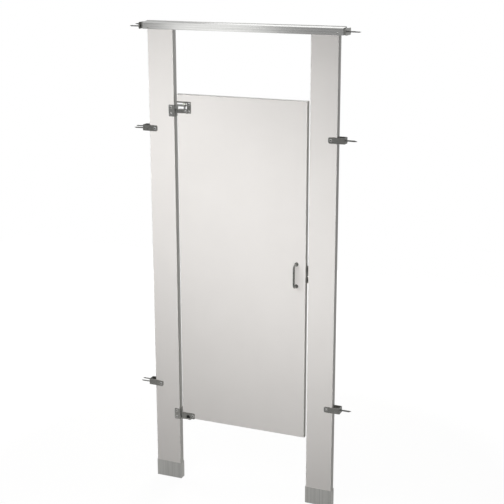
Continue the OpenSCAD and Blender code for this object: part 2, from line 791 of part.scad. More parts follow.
// The bar under a pilaster is tapped for both studs.
module levelling_bar(side) {
    cx = side * pilaster_mid_x;
    color([0.45, 0.46, 0.47]) difference() {
        box([cx - pilaster_w / 2 + 8, -level_bar_w / 2, pilaster_z - level_bar_t],
            [cx + pilaster_w / 2 - 8, level_bar_w / 2, pilaster_z]);
        for (x = [-0.5, 0.5] * stud_pitch) translate([cx + x, 0, pilaster_z - level_bar_t - past])
            cylinder(r = stud_r, h = level_bar_t + 2 * past);
    }
}
module left_levelling_bar() {
    levelling_bar(-1);
}
module right_levelling_bar() {
    levelling_bar(1);
}

// The plate on the floor carries the studs and takes two anchors between them.
module foot_plate(side) {
    cx = side * pilaster_mid_x;
    color([0.45, 0.46, 0.47]) difference() {
        translate([cx, 0, 0]) linear_extrude(foot_t)
            round_rect([-foot_half_l, -foot_half_w], [foot_half_l, foot_half_w], 4);
        for (x = [-0.5, 0.5] * stud_pitch) translate([cx + x, 0, -past])
            cylinder(r = stud_r, h = foot_t + 2 * past);
        for (x = [-0.5, 0.5] * anchor_pitch) translate([cx + x, 0, -past])
            cylinder(r = anchor_r, h = foot_t + 2 * past);
    }
}
module left_foot_plate() {
    foot_plate(-1);
}
module right_foot_plate() {
    foot_plate(1);
}

// Repeats its child at all four levelling studs.
module at_studs() {
    for (s = [-1, 1], x = [-0.5, 0.5] * stud_pitch)
        translate([s * pilaster_mid_x + x, 0, 0]) children();
}
module levelling_studs() {
    color([0.6, 0.6, 0.6]) at_studs() cylinder(r = stud_r, h = pilaster_z);
}
module levelling_nuts() {
    nut_h = 7;
    color([0.6, 0.6, 0.6]) at_studs() for (z = [foot_t, pilaster_z - level_bar_t - nut_h])
        translate([0, 0, z]) difference() {
            cylinder(r = 8.6, h = nut_h, $fn = 6);
            translate([0, 0, -past]) cylinder(r = stud_r, h = nut_h + 2 * past);
        }
}

module headrail() {
    x1 = wall_x - rail_end_gap;
    color([0.66, 0.66, 0.65]) difference() {
        extrude_x(-x1, x1) translate([0, rail_z]) headrail_section();
        for (s = [-1, 1])
            rod_y(s * rail_screw_x, rail_screw_z, fixing_r + hole_play,
                -rail_half_out - past, rail_half_out + past);
    }
}
module left_rail_bracket() {
    color([0.42, 0.42, 0.42]) at_wall(-1) rail_bracket();
}
module right_rail_bracket() {
    color([0.42, 0.42, 0.42]) at_wall(1) rail_bracket();
}
module rail_wall_screws() {
    color([0.5, 0.5, 0.5]) for (s = [-1, 1])
        at_wall(s) at_wall_screws(-rail_bracket_t, rail_screw_pitch, rail_z + rail_face_h / 2)
            wall_screw(rail_bracket_t, screw_out);
}

// Short screws through the rail and the bracket's leg into the pilaster, front and back.
module rail_fixing_screws() {
    color([0.55, 0.55, 0.55]) for (s = [-1, 1], f = [0, 1])
        mirror([0, f, 0]) translate([s * rail_screw_x, -rail_half_out, rail_screw_z]) {
            rotate([90, 0, 0]) pan_head(4, 2);
            rotate([-90, 0, 0]) cylinder(r = fixing_r, h = 14);
        }
}

module left_upper_stirrup() {
    color([0.42, 0.42, 0.42]) at_wall(-1) stirrup(stirrup_high_z);
}
module left_lower_stirrup() {
    color([0.42, 0.42, 0.42]) at_wall(-1) stirrup(stirrup_low_z);
}
module right_upper_stirrup() {
    color([0.42, 0.42, 0.42]) at_wall(1) stirrup(stirrup_high_z);
}
module right_lower_stirrup() {
    color([0.42, 0.42, 0.42]) at_wall(1) stirrup(stirrup_low_z);
}
module stirrup_wall_screws() {
    color([0.5, 0.5, 0.5])
        for (s = [-1, 1], z = stirrup_heights)
            at_wall(s) at_wall_screws(-stirrup_t, stirrup_screw_pitch, z)
                wall_screw(stirrup_t, screw_out);
}

// Front sleeve nuts and back bolts of the stirrups and of the hinge leaves.
module frame_sleeve_nuts() {
    color([0.5, 0.5, 0.5]) {
        for (p = stirrup_points)
            sleeve_nut(p[0], p[1], -pilaster_t / 2 - stirrup_t, pilaster_t * 0.8);
        for (p = leaf_points)
            sleeve_nut(p[0], p[1], -pilaster_t / 2 - leaf_t, pilaster_t * 0.8);
    }
}
module frame_bolts() {
    color([0.5, 0.5, 0.5]) {
        for (p = stirrup_points)
            back_bolt(p[0], p[1], pilaster_t / 2 + stirrup_t, pilaster_t * 0.6);
        for (p = leaf_points)
            back_bolt(p[0], p[1], pilaster_t / 2 + leaf_t, pilaster_t * 0.6);
    }
}

module upper_hinge_arm() {
    color([0.4, 0.4, 0.4]) difference() {
        hinge_arm(upper_leaf_z, upper_arm_low);
        translate([pivot_x, 0, upper_arm_low - past]) cylinder(r = bush_r, h = arm_t + 2 * past);
    }
}

module lower_hinge_arm() {
    color([0.4, 0.4, 0.4]) difference() {
        hinge_arm(lower_leaf_z, lower_arm_low);
        translate([pivot_x, 0, lower_arm_low - past])
            cylinder(r = stem_r + stem_play, h = arm_t + 2 * past, $fn = 6);
    }
}
module upper_hinge_bush() {
    collar_h = notch_above - 1;
    color([0.9, 0.9, 0.88]) translate([pivot_x, 0, 0]) difference() {
        union() {
            translate([0, 0, upper_arm_low]) cylinder(r = bush_r, h = arm_t + eps);
            translate([0, 0, upper_arm_z]) cylinder(r = bush_r + 1.2, h = collar_h);
        }
        translate([0, 0, upper_arm_low - past])
            cylinder(r = pin_r + pin_play, h = arm_t + collar_h + 2 * past);
    }
}
module lower_hinge_pin() {
    head_h = 3;
    color([0.55, 0.55, 0.55]) translate([pivot_x, 0, 0]) {
        translate([0, 0, lower_arm_low - head_h]) cylinder(r = pin_r + 3, h = head_h);
        translate([0, 0, lower_arm_low - eps])
            cylinder(r = pin_r, h = upper_cam_top - 2 - lower_arm_low);
    }
}
module lower_cam() {
    color([0.12, 0.12, 0.12]) translate([pivot_x, 0, 0]) difference() {
        union() {
            intersection() {
                translate([0, 0, ramp_floor]) ramps(1);
                translate([0, 0, cam_floor]) cylinder(r = cam_r, h = 2 * cam_ramp_h + cam_base_h);
            }
            translate([0, 0, cam_floor]) cylinder(r = cam_r, h = cam_base_h);
            translate([0, 0, lower_arm_low]) cylinder(r = stem_r, h = arm_t + eps, $fn = 6);
        }
        translate([0, 0, lower_arm_low - past])
            cylinder(r = pin_r + pin_play, h = arm_t + cam_base_h + cam_ramp_h + 2 * past);
    }
}

// Keeper: a plate with two tongues behind the door and a bridge for the bolt.
module keeper() {
    y0 = pilaster_t / 2;
    tongue_x = door_x1 - keeper_lap;
    bridge_in = bar_y1 + bar_play + 0.6;
    bridge_half = keeper_window_h / 2;
    color([0.4, 0.4, 0.4]) difference() {
        union() {
            extrude_y(y0, keeper_y1) difference() {
                round_rect([tongue_x, latch_z - keeper_h / 2], [keeper_x1, latch_z + keeper_h / 2], 4);
                round_rect([tongue_x - 9, latch_z - bridge_half], [keeper_x0, latch_z + bridge_half], 2);
            }
            for (s = [-1, 1])
                box([keeper_x0, y0, latch_z + (s > 0 ? bridge_half : -bridge_half - bridge_t)],
                    [keeper_x0 + bridge_w, bridge_in,
                        latch_z + (s > 0 ? bridge_half + bridge_t : -bridge_half)]);
            extrude_y(bridge_in - eps, bridge_in + bridge_t)
                round_rect([keeper_x0, latch_z - bridge_half - bridge_t],
                    [keeper_x0 + bridge_w, latch_z + bridge_half + bridge_t], 1.5);
        }
        for (z = keeper_screw_z)
            rod_y(keeper_screw_x, z, fixing_r + hole_play, y0 - past, keeper_y1 + past);
    }
}
module keeper_screws() {
    color([0.5, 0.5, 0.5]) for (z = keeper_screw_z)
        translate([keeper_screw_x, keeper_y1, z]) rotate([-90, 0, 0]) {
            pan_head(4, 2);
            mirror([0, 0, 1]) cylinder(r = fixing_r, h = keeper_t + screw_bite);
        }
}
module keeper_bumper() {
    y1 = pilaster_t / 2;
    color([0.12, 0.12, 0.12]) for (s = [-1, 1])
        translate([door_x1 - keeper_lap + 5.5, 0, latch_z + s * (keeper_h / 2 - 12)])
            rotate([-90, 0, 0]) translate([0, 0, door_t / 2 + 0.3])
                cylinder(r = 4.5, h = y1 - door_t / 2 - 0.3);
}

module upper_hinge_pin() {
    color([0.6, 0.6, 0.6]) translate([pivot_x, 0, notch_z0 - notch_web])
        cylinder(r = pin_r, h = notch_z1 - notch_z0 + 2 * notch_web);
}

module door_front_sheet() {
    color([0.9, 0.9, 0.88]) difference() {
        face_sheet(door_panel, -1, door_holes);
        hinge_cuts();
    }
}
module door_back_sheet() {
    color([0.9, 0.9, 0.88]) difference() {
        face_sheet(door_panel, 1, concat(door_holes, door_back_holes));
        hinge_cuts();
    }
}
module door_core() {
    color([0.76, 0.66, 0.5]) difference() {
        core(door_panel, concat(door_holes, door_back_holes));
        hinge_cuts();
    }
}
module door_crown() {
    color([0.55, 0.55, 0.54]) difference() {
        crown(door_panel);
        hinge_cuts();
    }
}
module upper_door_casting() {
    color([0.38, 0.38, 0.38]) notch_casting();
}
module lower_door_casting() {
    color([0.42, 0.42, 0.42]) corner_casting();
}
module upper_cam() {
    color([0.12, 0.12, 0.12]) translate([pivot_x, 0, 0]) difference() {
        translate([0, 0, ramp_floor]) cylinder(r = cam_r, h = upper_cam_top - ramp_floor);
        translate([0, 0, ramp_floor + cam_play + cam_ramp_h * cam_step_play / 180])
            rotate(-cam_step_play) ramps(cam_play + past);
        for (s = [-1, 1])
            mirror([0, s > 0 ? 0 : 1, 0])
                box([-cam_r - past, cam_flat_y, upper_cam_key_z],
                    [cam_r + past, cam_r + past, upper_cam_top + past]);
        translate([0, 0, ramp_floor - past])
            cylinder(r = pin_r + pin_play, h = upper_cam_top - ramp_floor + 2 * past);
    }
}

// Sleeve nuts and bolts of the door's castings; the pull's feet take bolts from behind.
module door_sleeve_nuts() {
    color([0.5, 0.5, 0.5]) for (p = casting_points)
        sleeve_nut(p[0], p[1], -door_t / 2 - cheek_t, door_t * 0.8);
}
module door_bolts() {
    color([0.5, 0.5, 0.5]) {
        for (p = casting_points)
            back_bolt(p[0], p[1], door_t / 2 + cheek_t, door_t * 0.6);
        for (p = pull_ends)
            back_bolt(p[0], p[1], door_t / 2, door_t + 8);
    }
}

// Latch housing: a block with a channel for the bolt and a slot for the knob.
module latch_housing() {
    z0 = latch_z - housing_h / 2;
    z1 = latch_z + housing_h / 2;
    half_z = bar_h / 2 + bar_play;
    slot_r = knob_stem_r + 0.5;
    color([0.4, 0.4, 0.4]) difference() {
        extrude_y(door_t / 2, housing_y1) round_rect([housing_x0, z0], [housing_x1, z1], 4);
        box([housing_x0 - past, bar_y0, latch_z - half_z],
            [housing_x1 + past, bar_y1 + bar_play, latch_z + half_z]);
        extrude_y(bar_y1, housing_y1 + past)
            round_rect([knob_x - slot_r, latch_z - slot_r], [knob_x + bar_throw + slot_r, latch_z + slot_r],
                slot_r - eps);
        for (x = housing_screw_x, z = housing_screw_z)
            rod_y(x, z, fixing_r + hole_play, door_t / 2 - past, housing_y1 + past);
        for (x = housing_screw_x, z = housing_screw_z)
            rod_y(x, z, 4.4, housing_screw_y, housing_y1 + past);
    }
}
module latch_screws() {
    color([0.55, 0.55, 0.55]) for (x = housing_screw_x, z = housing_screw_z)
        translate([x, housing_screw_y, z]) rotate([-90, 0, 0]) {
            pan_head(3.9, 2);
            mirror([0, 0, 1]) cylinder(r = fixing_r, h = housing_screw_y - door_t / 2 + screw_bite);
        }
}
module latch_bolt() {
    color([0.6, 0.6, 0.6]) difference() {
        extrude_y(bar_y0 + 0.1, bar_y1)
            round_rect([bar_x0, latch_z - bar_h / 2], [bar_x1, latch_z + bar_h / 2], 3);
        rod_y(knob_x, latch_z, 2.5, bar_y1 - 4, bar_y1 + past);
    }
}
module latch_knob() {
    cap_y = housing_y1 + 1;
    color([0.55, 0.55, 0.55]) {
        rod_y(knob_x, latch_z, 2.5, bar_y1 - 4, bar_y1 + eps);
        rod_y(knob_x, latch_z, knob_stem_r, bar_y1, cap_y + eps);
        translate([knob_x, cap_y, latch_z]) rotate([-90, 0, 0]) rotate_extrude() {
            square([knob_r - 2, knob_l]);
            translate([0, 2]) square([knob_r, knob_l - 4]);
            for (y = [2, knob_l - 2]) translate([knob_r - 2, y]) circle(2);
        }
    }
}

// Door pull: a round rod bent twice, with a foot on the door at each end.
module door_pull() {
    face = -door_t / 2;
    bend = pull_r * 3;
    grip_y = face - pull_out;
    color([0.5, 0.5, 0.5]) difference() {
        union() {
            for (s = [-1, 1]) {
                z = latch_z + s * pull_pitch / 2;
                rod_y(pull_x, z, pull_r, grip_y + bend, face);
                rod_y(pull_x, z, pull_r + 4, face - 3, face);
                translate([pull_x, grip_y + bend, z - s * bend]) rotate([0, 90, 0])
                    rotate(s > 0 ? 180 : 270)
                        rotate_extrude(angle = 90) translate([bend, 0]) circle(pull_r);
            }
            translate([pull_x, grip_y, latch_z - pull_pitch / 2 + bend])
                cylinder(r = pull_r, h = pull_pitch - 2 * bend);
        }
        for (p = pull_ends) rod_y(p[0], p[1], bolt_r, face - 9, face + past);
    }
}

// Coat hook: a plate with a prong that curls up at the end.
module coat_hook() {
    face = door_t / 2;
    prong_r = 4.5;
    tip_y = face + hook_out - hook_curl;
    color([0.5, 0.5, 0.5]) difference() {
        union() {
            extrude_y(face, face + hook_plate[1])
                round_rect([hook_x - hook_plate[0] / 2, hook_z - hook_plate[2] / 2],
                    [hook_x + hook_plate[0] / 2, hook_z + hook_plate[2] / 2], 8);
            rod_y(hook_x, hook_root_z, prong_r, face, tip_y + eps);
            translate([hook_x, tip_y, hook_root_z + hook_curl]) rotate([0, 90, 0])
                rotate_extrude(angle = 90) translate([hook_curl, 0]) circle(prong_r);
        }
        for (z = hook_screw_z)
            rod_y(hook_x, z, fixing_r + hole_play, face - past, face + hook_plate[1] + past);
    }
}
module hook_screws() {
    color([0.55, 0.55, 0.55]) for (z = hook_screw_z)
        translate([hook_x, door_t / 2 + hook_plate[1], z]) rotate([-90, 0, 0]) {
            pan_head(4, 2);
            mirror([0, 0, 1]) cylinder(r = fixing_r, h = hook_plate[1] + screw_bite);
        }
}
module hook_tip() {
    tip_r = 6.5;
    tip_h = 10;
    color([0.12, 0.12, 0.12])
        translate([hook_x, door_t / 2 + hook_out, hook_root_z + hook_curl]) {
            cylinder(r = tip_r, h = tip_h);
            translate([0, 0, tip_h]) sphere(tip_r);
        }
}

left_pilaster_front_sheet();
left_pilaster_back_sheet();
left_pilaster_core();
left_pilaster_crown();
right_pilaster_front_sheet();
right_pilaster_back_sheet();
right_pilaster_core();
right_pilaster_crown();
left_shoe();
right_shoe();
shoe_screws();
left_levelling_bar();
right_levelling_bar();
left_foot_plate();
right_foot_plate();
levelling_studs();
levelling_nuts();
headrail();
left_rail_bracket();
right_rail_bracket();
rail_wall_screws();
rail_fixing_screws();
left_upper_stirrup();
left_lower_stirrup();
right_upper_stirrup();
right_lower_stirrup();
stirrup_wall_screws();
frame_sleeve_nuts();
frame_bolts();
upper_hinge_arm();
lower_hinge_arm();
upper_hinge_bush();
lower_hinge_pin();
lower_cam();
keeper();
keeper_screws();
keeper_bumper();
upper_hinge_pin();
door_front_sheet();
door_back_sheet();
door_core();
door_crown();
upper_door_casting();
lower_door_casting();
upper_cam();
door_sleeve_nuts();
door_bolts();
latch_housing();
latch_screws();
latch_bolt();
latch_knob();
door_pull();
coat_hook();
hook_screws();
hook_tip();
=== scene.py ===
"""Finishes, fasteners and studio for a toilet cubicle front that stands between two walls.

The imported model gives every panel, bracket, casting and pin. This file dresses them, softens the
edges of the cast and bent pieces, cuts threads and drives on the fasteners, and sets up the view.
"""

import json
import logging
import math
from dataclasses import dataclass
from enum import Enum
from typing import ClassVar, Iterable, Sequence

import bpy
import numpy as np
from mathutils import Matrix, Vector


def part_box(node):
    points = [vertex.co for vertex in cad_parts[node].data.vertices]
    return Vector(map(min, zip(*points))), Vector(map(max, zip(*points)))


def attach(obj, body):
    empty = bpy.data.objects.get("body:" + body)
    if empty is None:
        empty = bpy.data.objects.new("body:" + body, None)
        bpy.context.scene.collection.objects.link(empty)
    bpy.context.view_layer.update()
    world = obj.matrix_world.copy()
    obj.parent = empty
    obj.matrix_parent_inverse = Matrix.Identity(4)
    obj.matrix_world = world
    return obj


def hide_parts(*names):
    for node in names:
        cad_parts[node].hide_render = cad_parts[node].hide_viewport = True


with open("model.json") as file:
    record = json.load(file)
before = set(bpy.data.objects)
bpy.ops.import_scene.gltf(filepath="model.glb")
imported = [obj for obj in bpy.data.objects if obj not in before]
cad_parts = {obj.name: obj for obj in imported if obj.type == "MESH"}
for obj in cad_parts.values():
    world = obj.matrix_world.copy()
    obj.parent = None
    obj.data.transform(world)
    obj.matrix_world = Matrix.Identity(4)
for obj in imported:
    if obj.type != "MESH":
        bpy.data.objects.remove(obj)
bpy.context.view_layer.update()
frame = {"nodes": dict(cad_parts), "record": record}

log = logging.getLogger("cubicle")

Piece = bpy.types.Object
Socket = bpy.types.NodeSocket
Box = tuple[Vector, Vector]
Point = tuple[float, float]
Triple = tuple[float, float, float]

MM = 0.001
# face attribute that marks where painted shade darkens the inside of a head's recess
PAINTED_RECESS_SHADE = "recess"
WHITE = (1.0, 1.0, 1.0, 1.0)


# ---------------- node trees


def tint(red: float, green: float, blue: float) -> tuple[float, float, float, float]:
    """Turn a colour as a screen shows it into the linear colour that a shader wants.

    Args:
        red: Red from 0 to 255.
        green: Green from 0 to 255.
        blue: Blue from 0 to 255.

    Returns:
        The linear colour with an alpha of 1.
    """
    shown = (value / 255.0 for value in (red, green, blue))
    linear = [v / 12.92 if v <= 0.04045 else ((v + 0.055) / 1.055) ** 2.4 for v in shown]
    return (linear[0], linear[1], linear[2], 1.0)


class Grain(Enum):
    """Direction that brushing or drawing marks run in, as a scale on each axis."""

    ALONG_X = (3.0, 700.0, 700.0)
    ALONG_Z = (700.0, 700.0, 3.0)
    NONE = (1.0, 1.0, 1.0)


class Wiring:
    """A node tree being written."""

    def __init__(self, tree: bpy.types.NodeTree) -> None:
        """Start on a tree, which is emptied first."""
        self.tree = tree
        tree.nodes.clear()

    def feed(self, target: Socket, source: object) -> None:
        """Link an input to another node's output, or set it to a plain value.

        Args:
            target: The input.
            source: The output to link, or the value.
        """
        if isinstance(source, Socket):
            self.tree.links.new(source, target)
        else:
            target.default_value = source

    def add(self, kind: str, **inputs: object) -> bpy.types.Node:
        """Add a node and feed its inputs.

        Args:
            kind: Type of the node.
            **inputs: Name of each input, with _ for a space, and what it gets.

        Returns:
            The node.
        """
        node = self.tree.nodes.new(kind)
        for name, source in inputs.items():
            self.feed(node.inputs[name.replace("_", " ")], source)
        return node

    def calculate(self, operation: str, first: object, second: object) -> Socket:
        """Work out one number from two.

        Args:
            operation: What is done with them.
            first: An output or a plain value.
            second: An output or a plain value.

        Returns:
            The result.
        """
        node = self.add("ShaderNodeMath")
        node.operation = operation
        self.feed(node.inputs[0], first)
        self.feed(node.inputs[1], second)
        return node.outputs["Value"]

    def spread(self, value: Socket, low: float = 0.0, high: float = 1.0,
               start: float = 0.35, end: float = 0.65) -> Socket:
        """Map a value to a range.

        Args:
            value: The value to map.
            low: Result at start and below.
            high: Result at end and above.
            start: Value that gives low. The defaults suit a noise, which keeps to the middle.
            end: Value that gives high.

        Returns:
            The mapped value.
        """
        ramp = self.add("ShaderNodeMapRange", Value=value, From_Min=start, From_Max=end,
                        To_Min=low, To_Max=high)
        return ramp.outputs["Result"]

    def choose(self, share: Socket, base: bpy.types.Node, shown: bpy.types.Node) -> Socket:
        """Mix two shaders.

        Args:
            share: How much of the second one counts.
            base: Node of the first shader.
            shown: Node of the second shader.

        Returns:
            The mixed shader.
        """
        mix = self.add("ShaderNodeMixShader", Fac=share)
        self.feed(mix.inputs[1], base.outputs[0])
        self.feed(mix.inputs[2], shown.outputs[0])
        return mix.outputs["Shader"]


class Recipe(Wiring):
    """A material being written: one Principled shader and the nodes that feed it."""

    ROUGH_NOISE: ClassVar[float] = 0.55

    def __init__(self, name: str, **plain: object) -> None:
        """Start a material.

        Args:
            name: Name of the material.
            **plain: Inputs of the shader that are the same all over.
        """
        self.material = bpy.data.materials.new(name)
        self.material.use_nodes = True
        super().__init__(self.material.node_tree)
        self.shader = self.add("ShaderNodeBsdfPrincipled", **plain)
        self.add("ShaderNodeOutputMaterial", Surface=self.shader.outputs["BSDF"])
        self.coordinates = self.add("ShaderNodeTexCoord").outputs["Object"]

    def noise(self, scale: float, grain: Grain = Grain.NONE, detail: float = 3.0) -> Socket:
        """Add a noise pattern on object coordinates.

        Args:
            scale: Repeats per metre, before the grain stretches the pattern.
            grain: Direction that the pattern is drawn out in.
            detail: Number of finer layers.

        Returns:
            The noise value.
        """
        place = self.add("ShaderNodeMapping", Vector=self.coordinates, Scale=grain.value)
        noise = self.add("ShaderNodeTexNoise", Vector=place.outputs["Vector"], Scale=scale,
                         Detail=detail, Roughness=self.ROUGH_NOISE)
        return noise.outputs["Fac"]

    def blend(self, share: Socket, first: Socket | Triple, second: Triple) -> Socket:
        """Mix two colours.

        Args:
            share: How much of the second colour shows.
            first: Colour at 0, as it is shown or already mixed.
            second: Colour at 1, as it is shown.

        Returns:
            The mixed colour.
        """
        mix = self.add("ShaderNodeMix")
        mix.data_type = "RGBA"
        self.feed(mix.inputs["Factor"], share)
        self.feed(mix.inputs["A"], first if isinstance(first, Socket) else tint(*first))
        self.feed(mix.inputs["B"], tint(*second))
        return mix.outputs["Result"]

    def finish(self, colour: Socket, skin: Socket, roughness: Point,
               relief: Point) -> bpy.types.Material:
        """Feed the shader its colour, roughness and relief.

        Args:
            colour: The colour.
            skin: Pattern of the surface.
            roughness: Roughness where the pattern is low and where it is high.
            relief: How strongly the pattern is raised, from 0 to 1, and its depth in metres.

        Returns:
            The finished material.
        """
        strength, depth = relief
        bump = self.add("ShaderNodeBump", Strength=strength, Distance=depth, Height=skin)
        self.feed(self.shader.inputs["Base Color"], colour)
        self.feed(self.shader.inputs["Roughness"], self.spread(skin, *roughness))
        self.feed(self.shader.inputs["Normal"], bump.outputs["Normal"])
        return self.material


@dataclass(frozen=True)
class BakedEnamel:
    """Baked enamel on steel sheet: even, faintly rippled, a little cooler where it lies thick."""

    name: str
    colour: Triple
    thick_colour: Triple
    roughness: Point = (0.44, 0.54)
    relief: Point = (0.12, 0.2 * MM)
    cloud_scale: float = 5.0
    ripple_scale: float = 320.0

    def material(self) -> bpy.types.Material:
        """Return the finished material."""
        recipe = Recipe(self.name, Metallic=0.0, Specular_IOR_Level=0.32, Coat_Weight=0.08,
                        Coat_Roughness=0.3)
        cloud = recipe.spread(recipe.noise(self.cloud_scale, detail=2.0))
        colour = recipe.blend(cloud, self.colour, self.thick_colour)
        ripple = recipe.noise(self.ripple_scale, detail=2.0)
        return recipe.finish(colour, ripple, self.roughness, self.relief)


@dataclass(frozen=True)
class BrushedMetal:
    """Metal with fine drawn or brushed lines, broader dull ones where they are asked for, and
    painted light on the faces that look up where a colour is given for them.
    """

    name: str
    colour: Triple
    dark_colour: Triple
    grain: Grain
    roughness: Point
    metallic: float = 1.0
    # painted light: colour for the faces that look up, standing for the light that falls on them
    painted_top_light_colour: Triple | None = None
    broad_lines: float = 0.0
    broad_line_colour: Triple = (150, 150, 148)
    broad_line_scale: float = 0.22
    broad_line_range: Point = (0.42, 0.62)
    relief: Point = (0.15, 0.05 * MM)
    # how far up a face must look to take the painted light
    painted_top_facing: Point = (0.5, 0.9)

    def material(self) -> bpy.types.Material:
        """Return the finished material."""
        recipe = Recipe(self.name, Metallic=self.metallic)
        lines = recipe.noise(1.0, self.grain, 4.0)
        colour = recipe.blend(recipe.spread(lines), self.dark_colour, self.colour)
        if self.broad_lines:
            broad = recipe.noise(self.broad_line_scale, self.grain, 2.0)
            share = recipe.spread(broad, 0.0, self.broad_lines, *self.broad_line_range)
            colour = recipe.blend(share, colour, self.broad_line_colour)
        # painted light on the faces that look up
        if self.painted_top_light_colour is not None:
            colour = self._paint_light_above(recipe, colour)
        return recipe.finish(colour, lines, self.roughness[::-1], self.relief)

    def _paint_light_above(self, recipe: Recipe, colour: Socket) -> Socket:
        """Paint light on the faces that look up: a colour that stands for the light falling on
        them.

        Args:
            recipe: The material being written.
            colour: Colour of the other faces.

        Returns:
            The mixed colour.
        """
        normal = recipe.add("ShaderNodeNewGeometry").outputs["True Normal"]
        facing = recipe.add("ShaderNodeSeparateXYZ", Vector=normal)
        share = recipe.spread(facing.outputs["Z"], 0.0, 1.0, *self.painted_top_facing)
        return recipe.blend(share, colour, self.painted_top_light_colour)


@dataclass(frozen=True)
class PlatedCasting:
    """Plated metal with the soft, slightly pitted skin of a casting or the polish of a screw, and
    painted shade inside the marked recesses of heads.
    """

    name: str
    colour: Triple
    dark_colour: Triple
    roughness: Point
    pitting: float
    pit_depth: float = 0.12 * MM
    patch_scale: float = 90.0
    skin_scale: float = 700.0
    # painted shade for the inside of a head's recess
    painted_recess_shade_colour: Triple = (92, 92, 90)

    def material(self) -> bpy.types.Material:
        """Return the finished material."""
        recipe = Recipe(self.name, Metallic=1.0)
        patches = recipe.spread(recipe.noise(self.patch_scale, detail=4.0))
        colour = recipe.blend(patches, self.dark_colour, self.colour)
        # painted shade: faces marked as inside a recess take a darker colour
        inside = recipe.add("ShaderNodeAttribute")
        inside.attribute_name = PAINTED_RECESS_SHADE
        colour = recipe.blend(inside.outputs["Fac"], colour, self.painted_recess_shade_colour)
        skin = recipe.noise(self.skin_scale, detail=2.0)
        return recipe.finish(colour, skin, self.roughness, (self.pitting, self.pit_depth))


@dataclass(frozen=True)
class Moulded:
    """Nylon, rubber or board: no metal, with a fine matt grain."""

    name: str
    colour: Triple
    dark_colour: Triple
    roughness: Point
    scale: float = 600.0
    scatter: float = 0.0
    scatter_depth: float = 2.0 * MM
    relief: Point = (0.2, 0.1 * MM)

    def material(self) -> bpy.types.Material:
        """Return the finished material."""
        recipe = Recipe(self.name, Metallic=0.0, Specular_IOR_Level=0.4,
                        Subsurface_Weight=self.scatter, Subsurface_Scale=self.scatter_depth)
        grain = recipe.noise(self.scale)
        colour = recipe.blend(recipe.spread(grain), self.dark_colour, self.colour)
        return recipe.finish(colour, grain, self.roughness, self.relief)


class Paintbox:
    """Every finish of the cubicle, made once and named after the record's slots.

    The rail bracket and hinge arm metals are copies of the bracket and cast metals painted lighter,
    as painted light on those parts.
    """

    FINISHES: ClassVar[tuple] = (
        BakedEnamel("enamelled_steel", (239, 236, 233), (237, 234, 231)),
        # edge_steel carries painted light on its faces that look up
        BrushedMetal("edge_steel", (216, 216, 212), (206, 206, 202), Grain.ALONG_Z,
                     (0.36, 0.46), metallic=0.7, painted_top_light_colour=(212, 212, 208)),
        BrushedMetal("shoe_steel", (230, 230, 227), (212, 212, 209), Grain.ALONG_Z,
                     (0.42, 0.54), broad_lines=0.15),
        BrushedMetal("satin_aluminium", (228, 228, 226), (218, 218, 216), Grain.ALONG_X,
                     (0.2, 0.28), broad_lines=0.18),
        BrushedMetal("latch_steel", (176, 176, 174), (158, 158, 156), Grain.ALONG_X, (0.28, 0.4)),
        BrushedMetal("pin_steel", (236, 236, 235), (222, 222, 221), Grain.ALONG_Z, (0.2, 0.3)),
        PlatedCasting("bracket_metal", (171, 171, 167), (157, 157, 154), (0.24, 0.34), 0.09),
        # painted light: a lighter copy of the bracket metal, for the rail brackets
        PlatedCasting("bracket_metal_painted_light", (181, 181, 177), (168, 168, 165), (0.28, 0.38), 0.09),
        PlatedCasting("cast_metal", (163, 163, 159), (151, 151, 148), (0.24, 0.33), 0.11),
        # painted light: a lighter copy of the cast metal, for the hinge arms
        PlatedCasting("cast_metal_painted_light", (184, 184, 180), (171, 171, 168), (0.24, 0.33), 0.11),
        PlatedCasting("bright_fasteners", (240, 240, 238), (216, 216, 213), (0.16, 0.28), 0.08),
        PlatedCasting("plated_steel", (146, 146, 144), (122, 122, 120), (0.3, 0.42), 0.15),
        Moulded("honeycomb", (196, 172, 134), (178, 153, 116), (0.85, 0.95), scale=90.0),
        Moulded("nylon", (238, 237, 231), (231, 229, 222), (0.4, 0.5), scatter=0.15),
        Moulded("black_acetal", (42, 42, 43), (34, 34, 35), (0.28, 0.4)),
        Moulded("black_rubber", (34, 34, 34), (26, 26, 26), (0.6, 0.75)),
    )

    def __init__(self) -> None:
        """Make all the finishes."""
        self.materials = {finish.name: finish.material() for finish in self.FINISHES}

    def dress(self, piece: Piece, finish: str) -> None:
        """Give a piece or a CAD node one finish.

        Args:
            piece: The object to finish.
            finish: Name of the finish.
        """
        if not piece.material_slots:
            piece.data.materials.append(self.materials[finish])
        for material_slot in piece.material_slots:
            material_slot.material = self.materials[finish]


# ---------------- workbench


